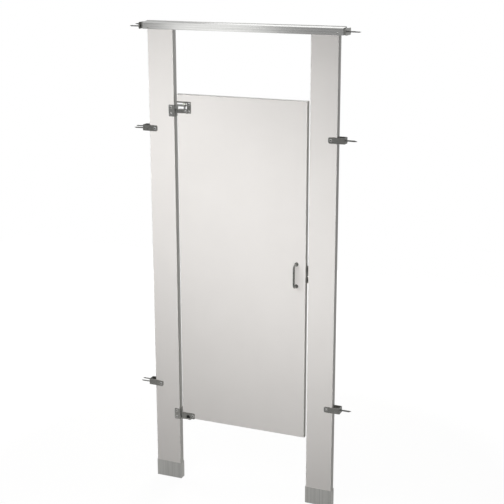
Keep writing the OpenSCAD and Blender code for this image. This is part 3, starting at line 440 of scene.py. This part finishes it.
class Bench:
    """Modelling steps that the pieces share, each done with Blender's own operators."""

    WELD: ClassVar[float] = 1e-7
    CAD_WELD: ClassVar[float] = 2e-6
    FLAT_ANGLE: ClassVar[float] = 0.6
    SOFT_ANGLE: ClassVar[float] = 40.0
    SOFT_SEGMENTS: ClassVar[int] = 2

    @staticmethod
    def take(piece: Piece) -> None:
        """Make one object the only selected and active one.

        Args:
            piece: The object.
        """
        bpy.ops.object.select_all(action="DESELECT")
        piece.select_set(True)
        bpy.context.view_layer.objects.active = piece

    @staticmethod
    def edit(kind: str, action: str = "SELECT") -> None:
        """Start editing the mesh of the active object.

        Args:
            kind: What is selected: VERT, EDGE or FACE.
            action: SELECT to start with everything, DESELECT with nothing.
        """
        bpy.ops.object.mode_set(mode="EDIT")
        bpy.ops.mesh.select_mode(type=kind)
        bpy.ops.mesh.select_all(action=action)

    @staticmethod
    def close() -> None:
        """Point all the faces of a closed mesh outwards and stop editing it."""
        bpy.ops.mesh.select_all(action="SELECT")
        bpy.ops.mesh.normals_make_consistent(inside=False)
        bpy.ops.object.mode_set(mode="OBJECT")

    @staticmethod
    def turn(name: str, rings: Sequence[Point], sides: int) -> Piece:
        """Build a turned shape along Z, ring by ring, closed at both ends.

        Args:
            name: Name of the piece.
            rings: Radius and height of each ring, in metres, from one end to the other.
            sides: Number of sides round the shape.

        Returns:
            The new object, with its axis on the origin.
        """
        radius, height = rings[0]
        bpy.ops.mesh.primitive_circle_add(vertices=sides, radius=radius, fill_type="NGON",
                                          location=(0.0, 0.0, height))
        piece = bpy.context.object
        piece.name = name
        bpy.ops.object.transform_apply(location=True)
        Bench.edit("FACE")
        for next_radius, next_height in rings[1:]:
            bpy.ops.mesh.extrude_region_move(
                TRANSFORM_OT_translate={"value": (0.0, 0.0, next_height - height)})
            scale = next_radius / radius
            bpy.ops.transform.resize(value=(scale, scale, 1.0),
                                     center_override=(0.0, 0.0, next_height))
            radius, height = next_radius, next_height
        bpy.ops.mesh.select_all(action="SELECT")
        bpy.ops.mesh.remove_doubles(threshold=Bench.WELD)
        Bench.close()
        return piece

    @staticmethod
    def combine(piece: Piece, other: Piece, operation: str = "DIFFERENCE") -> None:
        """Cut one closed shape out of another, or add it, and remove it.

        Args:
            piece: The shape that is changed.
            other: The shape that is taken away from it or added to it.
            operation: DIFFERENCE or UNION.
        """
        Bench.take(piece)
        modifier = piece.modifiers.new("combine", "BOOLEAN")
        modifier.operation = operation
        modifier.solver = "EXACT"
        modifier.object = other
        bpy.ops.object.modifier_apply(modifier=modifier.name)
        bpy.data.objects.remove(other)

    @staticmethod
    def join(pieces: Sequence[Piece], name: str) -> Piece:
        """Join pieces to the first of them.

        Args:
            pieces: The pieces.
            name: Name of the joined piece.

        Returns:
            The joined piece.
        """
        Bench.take(pieces[0])
        for piece in pieces[1:]:
            piece.select_set(True)
        if len(pieces) > 1:
            bpy.ops.object.join()
        pieces[0].name = name
        return pieces[0]

    @staticmethod
    def mark_painted_recess_shade(piece: Piece, reach: float, depth: float) -> None:
        """Note the faces inside a head's recess, where a painted shade darkens the plating.

        Args:
            piece: A turned head whose recess opens on the origin.
            reach: How far the recess reaches from the axis, in metres.
            depth: How deep it is.
        """
        margin = 0.05 * MM
        inside = piece.data.attributes.new(name=PAINTED_RECESS_SHADE, type="FLOAT", domain="FACE")
        for polygon in piece.data.polygons:
            middle = polygon.center
            deep = margin < abs(middle.z) < depth + margin
            near = math.hypot(middle.x, middle.y) < reach
            inside.data[polygon.index].value = float(deep and near)

    @staticmethod
    def soften(piece: Piece, width: float) -> None:
        """Round the sharp edges of a piece.

        Args:
            piece: The piece.
            width: Width of the rounding in metres.
        """
        Bench.take(piece)
        modifier = piece.modifiers.new("soft", "BEVEL")
        modifier.width = width
        modifier.segments = Bench.SOFT_SEGMENTS
        modifier.limit_method = "ANGLE"
        modifier.angle_limit = math.radians(Bench.SOFT_ANGLE)
        bpy.ops.object.modifier_apply(modifier=modifier.name)
        Bench.smooth(piece)
        flats = piece.modifiers.new("flats", "WEIGHTED_NORMAL")
        flats.keep_sharp = True
        flats.weight = 100
        bpy.ops.object.modifier_apply(modifier=flats.name)

    @staticmethod
    def smooth(piece: Piece, angle: float = 35.0) -> None:
        """Shade a piece smooth except across edges sharper than the angle in degrees."""
        Bench.take(piece)
        bpy.ops.object.shade_smooth_by_angle(angle=math.radians(angle))

    @staticmethod
    def pinch(piece: Piece, lobes: int, left: float, low: float = -1.0, high: float = 1.0) -> None:
        """Draw the sides of a turned shape in between its lobes, as a drive or a fluted grip.

        Args:
            piece: A turned shape on Z with four sides to each lobe.
            lobes: Number of lobes.
            left: Share of the radius that is left between two lobes.
            low: Height above which the sides are drawn in, in metres.
            high: Height up to which they are drawn in.
        """
        Bench.take(piece)
        Bench.edit("VERT", "DESELECT")
        bpy.ops.object.mode_set(mode="OBJECT")
        near_middle = 0.2
        for vertex in piece.data.vertices:
            turn = math.atan2(vertex.co.x, vertex.co.y) * lobes / math.tau
            vertex.select = low < vertex.co.z < high and abs(turn - round(turn)) < near_middle
        bpy.ops.object.mode_set(mode="EDIT")
        bpy.ops.transform.resize(value=(left, left, 1.0), center_override=(0.0, 0.0, 0.0))
        bpy.ops.object.mode_set(mode="OBJECT")

    @staticmethod
    def cross(span: float, width: float, depth: float) -> Piece:
        """Model the cross that is pressed into a screw's head, centred on the origin.

        Args:
            span: Length of each arm over all, in metres.
            width: Width of an arm.
            depth: How far it reaches below the origin, and above it.

        Returns:
            The cross as a closed shape.
        """
        arms = []
        for angle in (0.0, 90.0):
            bpy.ops.mesh.primitive_cube_add(size=1.0, location=(0.0, 0.0, 0.0),
                                            scale=(span, width, 2 * depth))
            arm = bpy.context.object
            bpy.ops.object.transform_apply(location=True, rotation=True, scale=True)
            arm.data.transform(Matrix.Rotation(math.radians(angle), 4, "Z"))
            arms.append(arm)
        Bench.combine(arms[0], arms[1], "UNION")
        return arms[0]

    @staticmethod
    def bar(name: str, outline: Sequence[Point], start: float, end: float) -> Piece:
        """Draw an outline across X and extrude it along X.

        Args:
            name: Name of the piece.
            outline: Corners of the outline in Y and Z, in metres.
            start: Where the bar starts on X.
            end: Where it ends.

        Returns:
            The bar.
        """
        bpy.ops.mesh.primitive_circle_add(vertices=len(outline), radius=1.0, fill_type="NGON")
        piece = bpy.context.object
        piece.name = name
        for vertex, (y, z) in zip(piece.data.vertices, outline):
            vertex.co = (start, y, z)
        Bench.edit("FACE")
        bpy.ops.mesh.extrude_region_move(TRANSFORM_OT_translate={"value": (end - start, 0.0, 0.0)})
        Bench.close()
        return piece

    @staticmethod
    def copies(name: str, master: Piece, places: Iterable[Matrix]) -> Piece:
        """Copy a finished shape to several places and join the copies.

        Args:
            name: Name of the joined piece.
            master: The finished shape, which is removed afterwards.
            places: Where each copy goes, as a matrix from the master's own position.

        Returns:
            The joined piece, at the origin.
        """
        made = []
        for place in places:
            mesh = master.data.copy()
            mesh.transform(place)
            copy = bpy.data.objects.new(name, mesh)
            bpy.context.scene.collection.objects.link(copy)
            made.append(copy)
        bpy.data.objects.remove(master)
        return Bench.join(made, name)

    @staticmethod
    def cast_from(node: str, name: str) -> Piece:
        """Copy a CAD node's shape as a closed mesh that can be worked on.

        Args:
            node: Name of the CAD node.
            name: Name of the new piece.

        Returns:
            The new piece.
        """
        mesh = frame["nodes"][node].data.copy()
        piece = bpy.data.objects.new(name, mesh)
        bpy.context.scene.collection.objects.link(piece)
        Bench.take(piece)
        Bench.edit("VERT")
        bpy.ops.mesh.remove_doubles(threshold=Bench.CAD_WELD)
        bpy.ops.mesh.customdata_custom_splitnormals_clear()
        bpy.ops.mesh.dissolve_limited(angle_limit=math.radians(Bench.FLAT_ANGLE))
        bpy.ops.object.mode_set(mode="OBJECT")
        return piece

    @staticmethod
    def solids(node: str) -> list[Box]:
        """Find the boxes of the separate solids of a CAD node.

        Args:
            node: Name of the CAD node.

        Returns:
            Lowest and highest corner of each solid, in metres.
        """
        mesh = frame["nodes"][node].data
        points = np.array([vertex.co for vertex in mesh.vertices])
        _, same = np.unique(np.round(points, 6), axis=0, return_inverse=True)
        same = same.reshape(-1)
        faces = same[np.array([list(polygon.vertices) for polygon in mesh.polygons])]
        solid = np.arange(same.max() + 1)
        settled = False
        while not settled:
            before = solid.copy()
            np.minimum.at(solid, faces, solid[faces].min(axis=1, keepdims=True))
            settled = bool((before == solid).all())
        owner = solid[same]
        groups = [points[owner == number] for number in np.unique(owner)]
        boxes = [(Vector(group.min(axis=0)), Vector(group.max(axis=0))) for group in groups]
        return sorted(boxes, key=lambda box: tuple(box[0]))


# ---------------- sub-assemblies


@dataclass
class Fitting:
    """A piece that stands for one CAD node and rides on the same body."""

    slot: ClassVar[str] = "bright_fasteners"

    paints: Paintbox
    node: str
    body: str = "frame"

    def dress(self, piece: Piece) -> None:
        """Finish the piece, let it ride on its body and take the node's place.

        Args:
            piece: The piece that build made.
        """
        self.paints.dress(piece, self.slot)
        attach(piece, self.body)
        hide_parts(self.node)
        log.info("%s stands for %s", piece.name, self.node)

    @staticmethod
    def seat(box: Box, side: float, spin: float = 0.0) -> Matrix:
        """Return the matrix that brings a fastener, head up on Z, to its hole through a panel.

        Args:
            box: Lowest and highest corner of the plain fastener.
            side: Side of the panel that its head is on, 1 for the back and -1 for the front.
            spin: Turn of the head about its own axis, in radians.

        Returns:
            The matrix.
        """
        low, high = box
        outer = high.y if side > 0 else low.y
        turn = Matrix.Rotation(math.radians(-90.0 * side), 4, "X")
        place = Matrix.Translation(((low.x + high.x) / 2, outer, (low.z + high.z) / 2))
        return place @ turn @ Matrix.Rotation(spin, 4, "Z")


@dataclass
class WallScrews(Fitting):
    """Threaded pan-head screws that hold a set of brackets to the walls.

    HEAD gives rings of the head by share of its radius and depth in millimetres.
    """

    slot: ClassVar[str] = "plated_steel"
    HEAD: ClassVar[tuple[Point, ...]] = ((0.6, 0.0), (0.85, 0.35), (0.97, 1.0), (1.0, 1.7))

    head_height: float = 2.6 * MM
    recess_span: float = 5.0 * MM
    recess_reach: float = 2.55 * MM
    recess_width: float = 1.1 * MM
    recess_depth: float = 1.3 * MM
    shank_radius: float = 2.8 * MM
    shank_length: float = 3.0 * MM
    core_radius: float = 1.95 * MM
    core_start: float = 4.0 * MM
    tip_radius: float = 0.25 * MM
    point: float = 8.0 * MM
    pitch: float = 2.1 * MM
    thread_root: float = 0.35 * MM
    thread_flank: float = 0.62 * MM
    thread_end: float = 1.5 * MM
    thread_steps: int = 18
    least_thread: float = 0.12
    sides: int = 24

    def build(self) -> Piece:
        """Build the screws in place of the plain ones.

        Returns:
            All the screws of the set as one piece.
        """
        boxes = Bench.solids(self.node)
        low, high = boxes[0]
        master = self._screw(high.x - low.x, (high.y - low.y) / 2)
        piece = Bench.copies(f"{self.node}_threaded", master, [self._place(box) for box in boxes])
        Bench.smooth(piece)
        return piece

    def _place(self, box: Box) -> Matrix:
        """Return the matrix that brings a screw, head down on the origin, to its hole.

        Args:
            box: Lowest and highest corner of the plain screw.

        Returns:
            The matrix.
        """
        low, high = box
        side = 1.0 if low.x > 0 else -1.0
        head = low.x if side > 0 else high.x
        turn = Matrix.Rotation(math.radians(90.0 * side), 4, "Y")
        return Matrix.Translation((head, (low.y + high.y) / 2, (low.z + high.z) / 2)) @ turn

    def _screw(self, length: float, radius: float) -> Piece:
        """Model one screw along Z with the top of its head on the origin.

        Args:
            length: Length over all.
            radius: Radius of the head.

        Returns:
            The screw.
        """
        neck = self.head_height + self.core_start
        rings = [(radius * share, height * MM) for share, height in self.HEAD]
        rings += [(radius, self.head_height), (self.shank_radius, self.head_height),
                  (self.shank_radius, self.head_height + self.shank_length),
                  (self.core_radius, neck), (self.core_radius, length - self.point),
                  (self.tip_radius, length)]
        body = Bench.turn("screw_body", rings, self.sides)
        Bench.combine(body, Bench.cross(self.recess_span, self.recess_width, self.recess_depth))
        Bench.mark_painted_recess_shade(body, self.recess_reach, self.recess_depth)
        thread = self._thread(neck, length - self.thread_end, length - self.point)
        return Bench.join([body, thread], "screw_body")

    def _thread(self, start: float, end: float, slope: float) -> Piece:
        """Wind the thread's ridge round the core and thin it down towards the point.

        Args:
            start: Height where the thread starts.
            end: Height where it ends.
            slope: Height where the point starts.

        Returns:
            The thread as a closed shape.
        """
        bpy.ops.mesh.primitive_circle_add(vertices=3, radius=1.0, fill_type="NOTHING")
        ridge = bpy.context.object
        root = self.core_radius - self.thread_root
        profile = ((root, -self.thread_flank), (self.shank_radius, 0.0), (root, self.thread_flank))
        for vertex, (radius, height) in zip(ridge.data.vertices, profile):
            vertex.co = (radius, 0.0, start + height)
        Bench.take(ridge)
        winding = ridge.modifiers.new("winding", "SCREW")
        winding.axis = "Z"
        winding.screw_offset = self.pitch
        winding.iterations = max(1, int((end - start) / self.pitch))
        winding.steps = winding.render_steps = self.thread_steps
        bpy.ops.object.modifier_apply(modifier=winding.name)
        Bench.edit("EDGE", "DESELECT")
        bpy.ops.mesh.select_non_manifold(extend=False, use_boundary=True)
        bpy.ops.mesh.fill()
        Bench.close()
        for vertex in ridge.data.vertices:
            if vertex.co.z > slope:
                left = max(self.least_thread, 1.0 - (vertex.co.z - slope) / self.point)
                vertex.co.x *= left
                vertex.co.y *= left
        return ridge


@dataclass
class PanScrews(Fitting):
    """Short pan-head screws with a cross recess, of which only the heads show.

    HEAD gives rings of the head by share of its radius and share of its height.
    """

    HEAD: ClassVar[tuple[Point, ...]] = ((1.0, 1.0), (1.0, 0.55), (0.96, 0.35), (0.86, 0.16),
                                         (0.68, 0.04), (0.5, 0.0))

    head_height: float = 2.0 * MM
    shank_radius: float = 1.9 * MM
    tip_radius: float = 0.4 * MM
    point: float = 2.0 * MM
    recess_share: float = 1.15
    reach_share: float = 0.58
    recess_width: float = 0.95 * MM
    recess_depth: float = 1.1 * MM
    spin: float = 0.6
    sides: int = 28
    crease: float = 30.0

    def build(self) -> Piece:
        """Build the screws in place of the plain ones.

        Returns:
            All the screws of the set as one piece.
        """
        boxes = Bench.solids(self.node)
        low, high = boxes[0]
        master = self._screw(high.y - low.y, (high.x - low.x) / 2)
        places = [self.seat(box, 1.0 if box[0].y + box[1].y > 0 else -1.0, self.spin)
                  for box in boxes]
        piece = Bench.copies(f"{self.node}_driven", master, places)
        Bench.smooth(piece, self.crease)
        return piece

    def _screw(self, length: float, radius: float) -> Piece:
        """Model one screw hanging down from the origin.

        Args:
            length: Length over all.
            radius: Radius of the head.

        Returns:
            The screw, with the top of its head on the origin.
        """
        rings = [(self.tip_radius, -length), (self.shank_radius, -length + self.point),
                 (self.shank_radius, -self.head_height)]
        rings += [(radius * share, -self.head_height * down) for share, down in self.HEAD]
        screw = Bench.turn("pan_screw", rings, self.sides)
        span = radius * self.recess_share
        Bench.combine(screw, Bench.cross(span, self.recess_width, self.recess_depth))
        Bench.mark_painted_recess_shade(screw, radius * self.reach_share, self.recess_depth)
        return screw


@dataclass
class ThroughBolts(Fitting):
    """Sleeve nuts or bolts whose low domed heads have a six-lobed drive."""

    head_side: int = 1
    head_radius: float = 6.0 * MM
    head_height: float = 2.4 * MM
    dome_share: float = 0.66
    dome_angle: float = 58.0
    dome_steps: int = 6
    bolt_radius: float = 2.4 * MM
    sleeve_radius: float = 3.8 * MM
    end_share: float = 0.8
    end_easing: float = 0.6 * MM
    drive_lobes: int = 6
    drive_radius: float = 2.7 * MM
    drive_depth: float = 1.7 * MM
    drive_waist: float = 0.7
    sides: int = 32
    crease: float = 30.0

    def build(self) -> Piece:
        """Build the fasteners in place of the plain ones.

        Returns:
            All the fasteners of the set as one piece.
        """
        boxes = Bench.solids(self.node)
        pieces = []
        for length in sorted({round(high.y - low.y, 5) for low, high in boxes}):
            places = [self.seat((low, high), self.head_side) for low, high in boxes
                      if abs(high.y - low.y - length) < 0.1 * MM]
            name = f"{self.node}_{len(pieces)}"
            pieces.append(Bench.copies(name, self._fastener(length), places))
        piece = Bench.join(pieces, f"{self.node}_driven")
        Bench.smooth(piece, self.crease)
        return piece

    def _fastener(self, length: float) -> Piece:
        """Model one fastener hanging down from the origin.

        Args:
            length: Length over all.

        Returns:
            The fastener, with the top of its head on the origin.
        """
        shank = self.bolt_radius if self.head_side > 0 else self.sleeve_radius
        rise = self.head_height * self.dome_share
        rings = [(shank * self.end_share, -length), (shank, -length + self.end_easing),
                 (shank, -self.head_height), (self.head_radius, -self.head_height),
                 (self.head_radius, -rise)]
        for step in range(1, self.dome_steps + 1):
            share = step / self.dome_steps
            radius = self.head_radius * math.cos(math.radians(self.dome_angle * share))
            rings.append((radius, -rise + rise * math.sin(math.radians(90.0 * share))))
        piece = Bench.turn("fastener", rings, self.sides)
        Bench.combine(piece, self._drive())
        Bench.mark_painted_recess_shade(piece, self.drive_radius, self.drive_depth)
        return piece

    def _drive(self) -> Piece:
        """Model the six-lobed drive as a closed shape.

        Returns:
            The cutter.
        """
        bpy.ops.mesh.primitive_cylinder_add(vertices=4 * self.drive_lobes,
                                            radius=self.drive_radius, depth=2 * self.drive_depth)
        cutter = bpy.context.object
        Bench.pinch(cutter, self.drive_lobes, self.drive_waist)
        return cutter


@dataclass
class SoftenedMetal:
    """Cast and bent pieces whose edges are eased, each node by its own width in millimetres."""

    paints: Paintbox
    body: str
    slot: str
    nodes: dict[str, float]
    finish: str = ""

    def build(self) -> list[Piece]:
        """Build an eased copy of each node.

        Returns:
            The new pieces, in the order of the nodes.
        """
        made = []
        for node, width in self.nodes.items():
            piece = Bench.cast_from(node, f"{node}_eased")
            Bench.soften(piece, width * MM)
            made.append(piece)
        return made

    def dress(self, pieces: list[Piece]) -> None:
        """Finish the copies and let them stand for their nodes.

        Args:
            pieces: The pieces that build made.
        """
        for node, piece in zip(self.nodes, pieces):
            self.paints.dress(piece, self.finish or self.slot)
            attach(piece, self.body)
            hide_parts(node)
            log.info("%s stands for %s", piece.name, node)


@dataclass
class Headrail(Fitting):
    """Anti-grip rail: its top slopes to the front and ends in a low ridge at the back.

    NOSE and the two RIDGE profiles ease its corners, in millimetres from each corner.
    """

    slot: ClassVar[str] = "satin_aluminium"
    NOSE: ClassVar[tuple[Point, ...]] = ((0.0, -1.2), (0.5, -0.4), (1.6, 0.15))
    RIDGE_FRONT: ClassVar[tuple[Point, ...]] = ((0.0, -0.5), (0.5, 0.0))
    RIDGE_BACK: ClassVar[tuple[Point, ...]] = ((-1.0, 0.0), (-0.3, -0.3), (0.0, -1.0))

    node: str = "headrail"
    wall: float = 2.1 * MM
    channel: float = 20.3 * MM
    web: float = 1.8 * MM
    face_height: float = 28.0 * MM
    top_wall: float = 2.2 * MM
    chamber_inset: float = 1.0 * MM
    ridge_height: float = 1.8 * MM
    ridge_width: float = 2.6 * MM
    hole_radius: float = 2.2 * MM
    hole_sides: int = 24
    drill_length: float = 60.0 * MM
    overcut: float = 5.0 * MM
    crease: float = 20.0

    def build(self) -> Piece:
        """Build the rail inside the box of the plain one.

        Returns:
            The rail.
        """
        low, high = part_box("headrail")
        half = (high.y - low.y) / 2
        inner = half - self.wall
        foot = low.z
        front = foot + self.face_height
        step = high.y - self.ridge_width
        shelf = high.z - self.ridge_height
        ceiling = foot + self.channel
        outline = [(-half, foot), *self._eased(-half, front, self.NOSE), (step, shelf),
                   *self._eased(step, high.z, self.RIDGE_FRONT),
                   *self._eased(half, high.z, self.RIDGE_BACK),
                   (half, foot), (inner, foot), (inner, ceiling), (-inner, ceiling), (-inner, foot)]
        rail = Bench.bar("headrail_ridged", outline, low.x, high.x)
        floor = ceiling + self.web
        start = -inner + self.chamber_inset
        chamber = [(start, floor), (inner, floor), (inner, shelf - self.top_wall),
                   (start, front - self.top_wall)]
        Bench.combine(rail, Bench.bar("chamber", chamber, low.x - self.overcut,
                                      high.x + self.overcut))
        for screw_low, screw_high in Bench.solids("rail_fixing_screws"):
            if screw_low.y < 0:
                self._drill(rail, (screw_low + screw_high) / 2)
        Bench.smooth(rail, self.crease)
        return rail

    @staticmethod
    def _eased(y: float, z: float, offsets: Sequence[Point]) -> list[Point]:
        """Return the points that ease a corner, given by their distance from it in mm."""
        return [(y + across * MM, z + up * MM) for across, up in offsets]

    def _drill(self, rail: Piece, middle: Vector) -> None:
        """Drill the rail from front to back for a pair of fixing screws.

        Args:
            rail: The rail.
            middle: Middle of one of the two screws.
        """
        bpy.ops.mesh.primitive_cylinder_add(vertices=self.hole_sides, radius=self.hole_radius,
                                            depth=self.drill_length)
        drill = bpy.context.object
        turn = Matrix.Rotation(math.radians(90.0), 4, "X")
        drill.data.transform(Matrix.Translation((middle.x, 0.0, middle.z)) @ turn)
        Bench.combine(rail, drill)


@dataclass
class LatchKnob(Fitting):
    """The fluted knob that slides the bolt.

    RIM and CROWN give rings of its cap by share of its radius and millimetres from each end.
    """

    slot: ClassVar[str] = "latch_steel"
    RIM: ClassVar[tuple[Point, ...]] = ((0.8, 0.0), (0.97, 1.0), (1.0, 2.0))
    CROWN: ClassVar[tuple[Point, ...]] = ((1.0, 4.0), (0.97, 2.2), (0.86, 0.9), (0.66, 0.2),
                                          (0.4, 0.0))

    node: str = "latch_knob"
    body: str = "latch"
    thread_radius: float = 2.5 * MM
    thread_length: float = 4.0 * MM
    stem_radius: float = 4.0 * MM
    cap_length: float = 14.0 * MM
    flutes: int = 16
    flute_waist: float = 0.93
    flute_start: float = 1.5 * MM
    flute_end: float = 3.0 * MM
    crease: float = 25.0

    def build(self) -> Piece:
        """Build the knob in place of the plain one.

        Returns:
            The knob.
        """
        low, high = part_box("latch_knob")
        radius = (high.x - low.x) / 2
        length = high.y - low.y
        foot = length - self.cap_length
        rings = [(self.thread_radius, 0.0), (self.thread_radius, self.thread_length),
                 (self.stem_radius, self.thread_length), (self.stem_radius, foot)]
        rings += [(radius * share, foot + up * MM) for share, up in self.RIM]
        rings += [(radius * share, length - down * MM) for share, down in self.CROWN]
        knob = Bench.turn("latch_knob_fluted", rings, self.flutes * 4)
        Bench.pinch(knob, self.flutes, self.flute_waist, foot + self.flute_start,
                    length - self.flute_end)
        place = Matrix.Translation(((low.x + high.x) / 2, low.y, (low.z + high.z) / 2))
        knob.data.transform(place @ Matrix.Rotation(math.radians(-90.0), 4, "X"))
        Bench.smooth(knob, self.crease)
        return knob


@dataclass
class CarriedNodes:
    """The CAD nodes that show as they are, each with its own finish."""

    paints: Paintbox

    def dress(self) -> None:
        """Give every CAD node the finish of its slot in the record."""
        slots = {part["node"]: part["material_slot"] for part in frame["record"]["subparts"]}
        for name, node in frame["nodes"].items():
            self.paints.dress(node, slots[name])
            log.info("%s wears %s", name, slots[name])


# ---------------- studio


@dataclass(frozen=True)
class Lamp:
    """One soft round lamp: where it hangs, where it looks, its diameter and its watts.

    Metal shows the lamp itself only if it is mirrored.
    """

    name: str
    place: Triple
    target: Triple
    size: float
    power: float
    mirrored: bool = False

    def hang(self) -> None:
        """Hang the lamp."""
        data = bpy.data.lights.new(self.name, "AREA")
        data.shape = "DISK"
        data.size = self.size
        data.energy = self.power
        lamp = bpy.data.objects.new(self.name, data)
        bpy.context.scene.collection.objects.link(lamp)
        lamp.location = self.place
        aim = Vector(self.target) - Vector(self.place)
        lamp.rotation_euler = aim.to_track_quat("-Z", "Y").to_euler()
        lamp.visible_camera = False
        lamp.visible_glossy = self.mirrored


@dataclass
class Studio:
    """Camera, lamps, floor and a white room that is dimmer near the horizon."""

    LAMPS: ClassVar[tuple[Lamp, ...]] = (
        Lamp("key_lamp", (-0.419, -1.315, 1.938), (-1.232, 0.0, 0.0), 1.0, 14.7),
        Lamp("fill_lamp", (0.482, -1.396, 1.066), (0.343, 0.0, 1.513), 1.2, 12.5),
        Lamp("rear_lamp", (-0.6, 2.6, 2.0), (0.0, 0.0, 1.0), 1.6, 60.0),
        Lamp("side_lamp", (-2.7, 0.9, 1.7), (-0.5, -0.35, 1.05), 1.4, 26.0),
        Lamp("edge_lamp", (1.3, 3.1, 1.75), (-0.3, 0.0, 1.9), 0.9, 0.95, True),
        Lamp("glint_lamp", (-0.685, -1.315, 1.93), (0.0, 0.0, 2.05), 0.57, 0.78, True),
        Lamp("rear_glint_lamp", (-0.75, 2.6, 3.1), (0.2, 0.0, 2.07), 1.3, 3.2, True),
    )

    camera_place: Triple = (1.9063, -4.4283, 2.4425)
    yaw: float = 22.80
    pitch: float = 15.417
    roll: float = -0.083
    focal: float = 1166.7
    image_side: float = 504.0
    sensor_width: float = 36.0
    farthest: float = 60.0
    ambient: float = 0.106
    ambient_colour: Triple = (1.0, 0.985, 0.96)
    horizon: float = 0.35
    horizon_heights: Point = (0.1, 0.72)
    floor_side: float = 7.0
    floor_drop: float = 0.5 * MM
    floor_colour: Triple = (138, 137, 135)
    floor_glow: float = 1.2
    floor_mirrored: float = 0.31
    floor_share: float = 0.79
    floor_fade: Point = (1.2, 3.3)

    def build(self) -> None:
        """Set up everything that isn't part of the cubicle."""
        scene = bpy.context.scene
        scene.view_settings.view_transform = "Standard"
        self._camera(scene)
        self._room(scene)
        self._floor()
        for lamp in self.LAMPS:
            lamp.hang()
        log.info("studio ready")

    def _camera(self, scene: bpy.types.Scene) -> None:
        """Put the camera where the photograph was taken from.

        Args:
            scene: The scene that uses it.
        """
        data = bpy.data.cameras.new("camera")
        data.sensor_fit = "HORIZONTAL"
        data.sensor_width = self.sensor_width
        data.lens = self.focal * self.sensor_width / self.image_side
        data.clip_end = self.farthest
        camera = bpy.data.objects.new("camera", data)
        scene.collection.objects.link(camera)
        turn = (Matrix.Rotation(math.radians(self.yaw), 4, "Z")
                @ Matrix.Rotation(math.radians(90.0 - self.pitch), 4, "X")
                @ Matrix.Rotation(math.radians(self.roll), 4, "Z"))
        camera.matrix_world = Matrix.Translation(self.camera_place) @ turn
        scene.camera = camera

    def _room(self, scene: bpy.types.Scene) -> None:
        """Make a room that is white to look at and dimmer to reflect near the horizon.

        Args:
            scene: The scene that the world belongs to.
        """
        scene.world = bpy.data.worlds.new("room")
        scene.world.use_nodes = True
        wiring = Wiring(scene.world.node_tree)
        rays = wiring.add("ShaderNodeLightPath").outputs
        direction = wiring.add("ShaderNodeTexCoord").outputs["Generated"]
        height = wiring.add("ShaderNodeSeparateXYZ", Vector=direction).outputs["Z"]
        mirrored = wiring.spread(height, self.horizon, 1.0, *self.horizon_heights)
        strength = wiring.calculate("MAXIMUM", rays["Is Camera Ray"], mirrored)
        shown = wiring.add("ShaderNodeBackground", Color=WHITE, Strength=strength)
        base = wiring.add("ShaderNodeBackground", Color=(*self.ambient_colour, 1.0),
                          Strength=self.ambient)
        seen = wiring.calculate("MAXIMUM", rays["Is Camera Ray"], rays["Is Glossy Ray"])
        seen = wiring.calculate("MAXIMUM", seen, rays["Is Transmission Ray"])
        wiring.add("ShaderNodeOutputWorld", Surface=wiring.choose(seen, base, shown))

    def _floor(self) -> None:
        """Lay a pale floor that looks white and takes a faint shadow near the cubicle."""
        bpy.ops.mesh.primitive_plane_add(size=self.floor_side,
                                         location=(0.0, 0.0, -self.floor_drop))
        floor = bpy.context.object
        floor.name = "floor"
        material = bpy.data.materials.new("floor")
        material.use_nodes = True
        wiring = Wiring(material.node_tree)
        rays = wiring.add("ShaderNodeLightPath").outputs
        away = wiring.add("ShaderNodeVectorMath")
        away.operation = "LENGTH"
        wiring.feed(away.inputs[0], wiring.add("ShaderNodeTexCoord").outputs["Object"])
        fade = wiring.spread(away.outputs["Value"], self.floor_share, 1.0, *self.floor_fade)
        mirrored = wiring.calculate("MULTIPLY", rays["Is Glossy Ray"], self.floor_mirrored)
        seen = wiring.calculate("MAXIMUM", rays["Is Camera Ray"], mirrored)
        share = wiring.calculate("MULTIPLY", seen, fade)
        plain = wiring.add("ShaderNodeBsdfDiffuse", Color=tint(*self.floor_colour))
        glow = wiring.add("ShaderNodeEmission", Color=WHITE, Strength=self.floor_glow)
        wiring.add("ShaderNodeOutputMaterial", Surface=wiring.choose(share, plain, glow))
        floor.data.materials.append(material)


# ---------------- assembly


def main() -> None:
    """Build every sub-assembly in order and report each piece."""
    logging.basicConfig(level=logging.INFO, format="%(message)s")
    paints = Paintbox()
    CarriedNodes(paints).dress()

    for assembly in (
        WallScrews(paints, "stirrup_wall_screws"),
        WallScrews(paints, "rail_wall_screws"),
        PanScrews(paints, "rail_fixing_screws"),
        PanScrews(paints, "keeper_screws"),
        PanScrews(paints, "shoe_screws", head_height=1.8 * MM),
        PanScrews(paints, "latch_screws", "door"),
        PanScrews(paints, "hook_screws", "door"),
        Headrail(paints),
        ThroughBolts(paints, "frame_sleeve_nuts", head_side=-1),
        ThroughBolts(paints, "frame_bolts"),
        ThroughBolts(paints, "door_sleeve_nuts", "door", -1),
        ThroughBolts(paints, "door_bolts", "door"),
        SoftenedMetal(paints, "frame", "bracket_metal", {
            "left_upper_stirrup": 0.5, "left_lower_stirrup": 0.5,
            "right_upper_stirrup": 0.5, "right_lower_stirrup": 0.5}),
        # the rail brackets wear a copy of the bracket metal painted lighter, as painted light
        SoftenedMetal(paints, "frame", "bracket_metal", {
            "left_rail_bracket": 0.4, "right_rail_bracket": 0.4}, "bracket_metal_painted_light"),
        SoftenedMetal(paints, "frame", "cast_metal", {"keeper": 0.4}),
        # the hinge arms wear a copy of the cast metal painted lighter, as painted light
        SoftenedMetal(paints, "frame", "cast_metal", {
            "upper_hinge_arm": 0.5, "lower_hinge_arm": 0.5}, "cast_metal_painted_light"),
        SoftenedMetal(paints, "door", "cast_metal", {
            "upper_door_casting": 0.5, "lower_door_casting": 0.5, "latch_housing": 0.6}),
        LatchKnob(paints),
    ):
        assembly.dress(assembly.build())
    Studio().build()


if __name__ == "__main__":
    main()
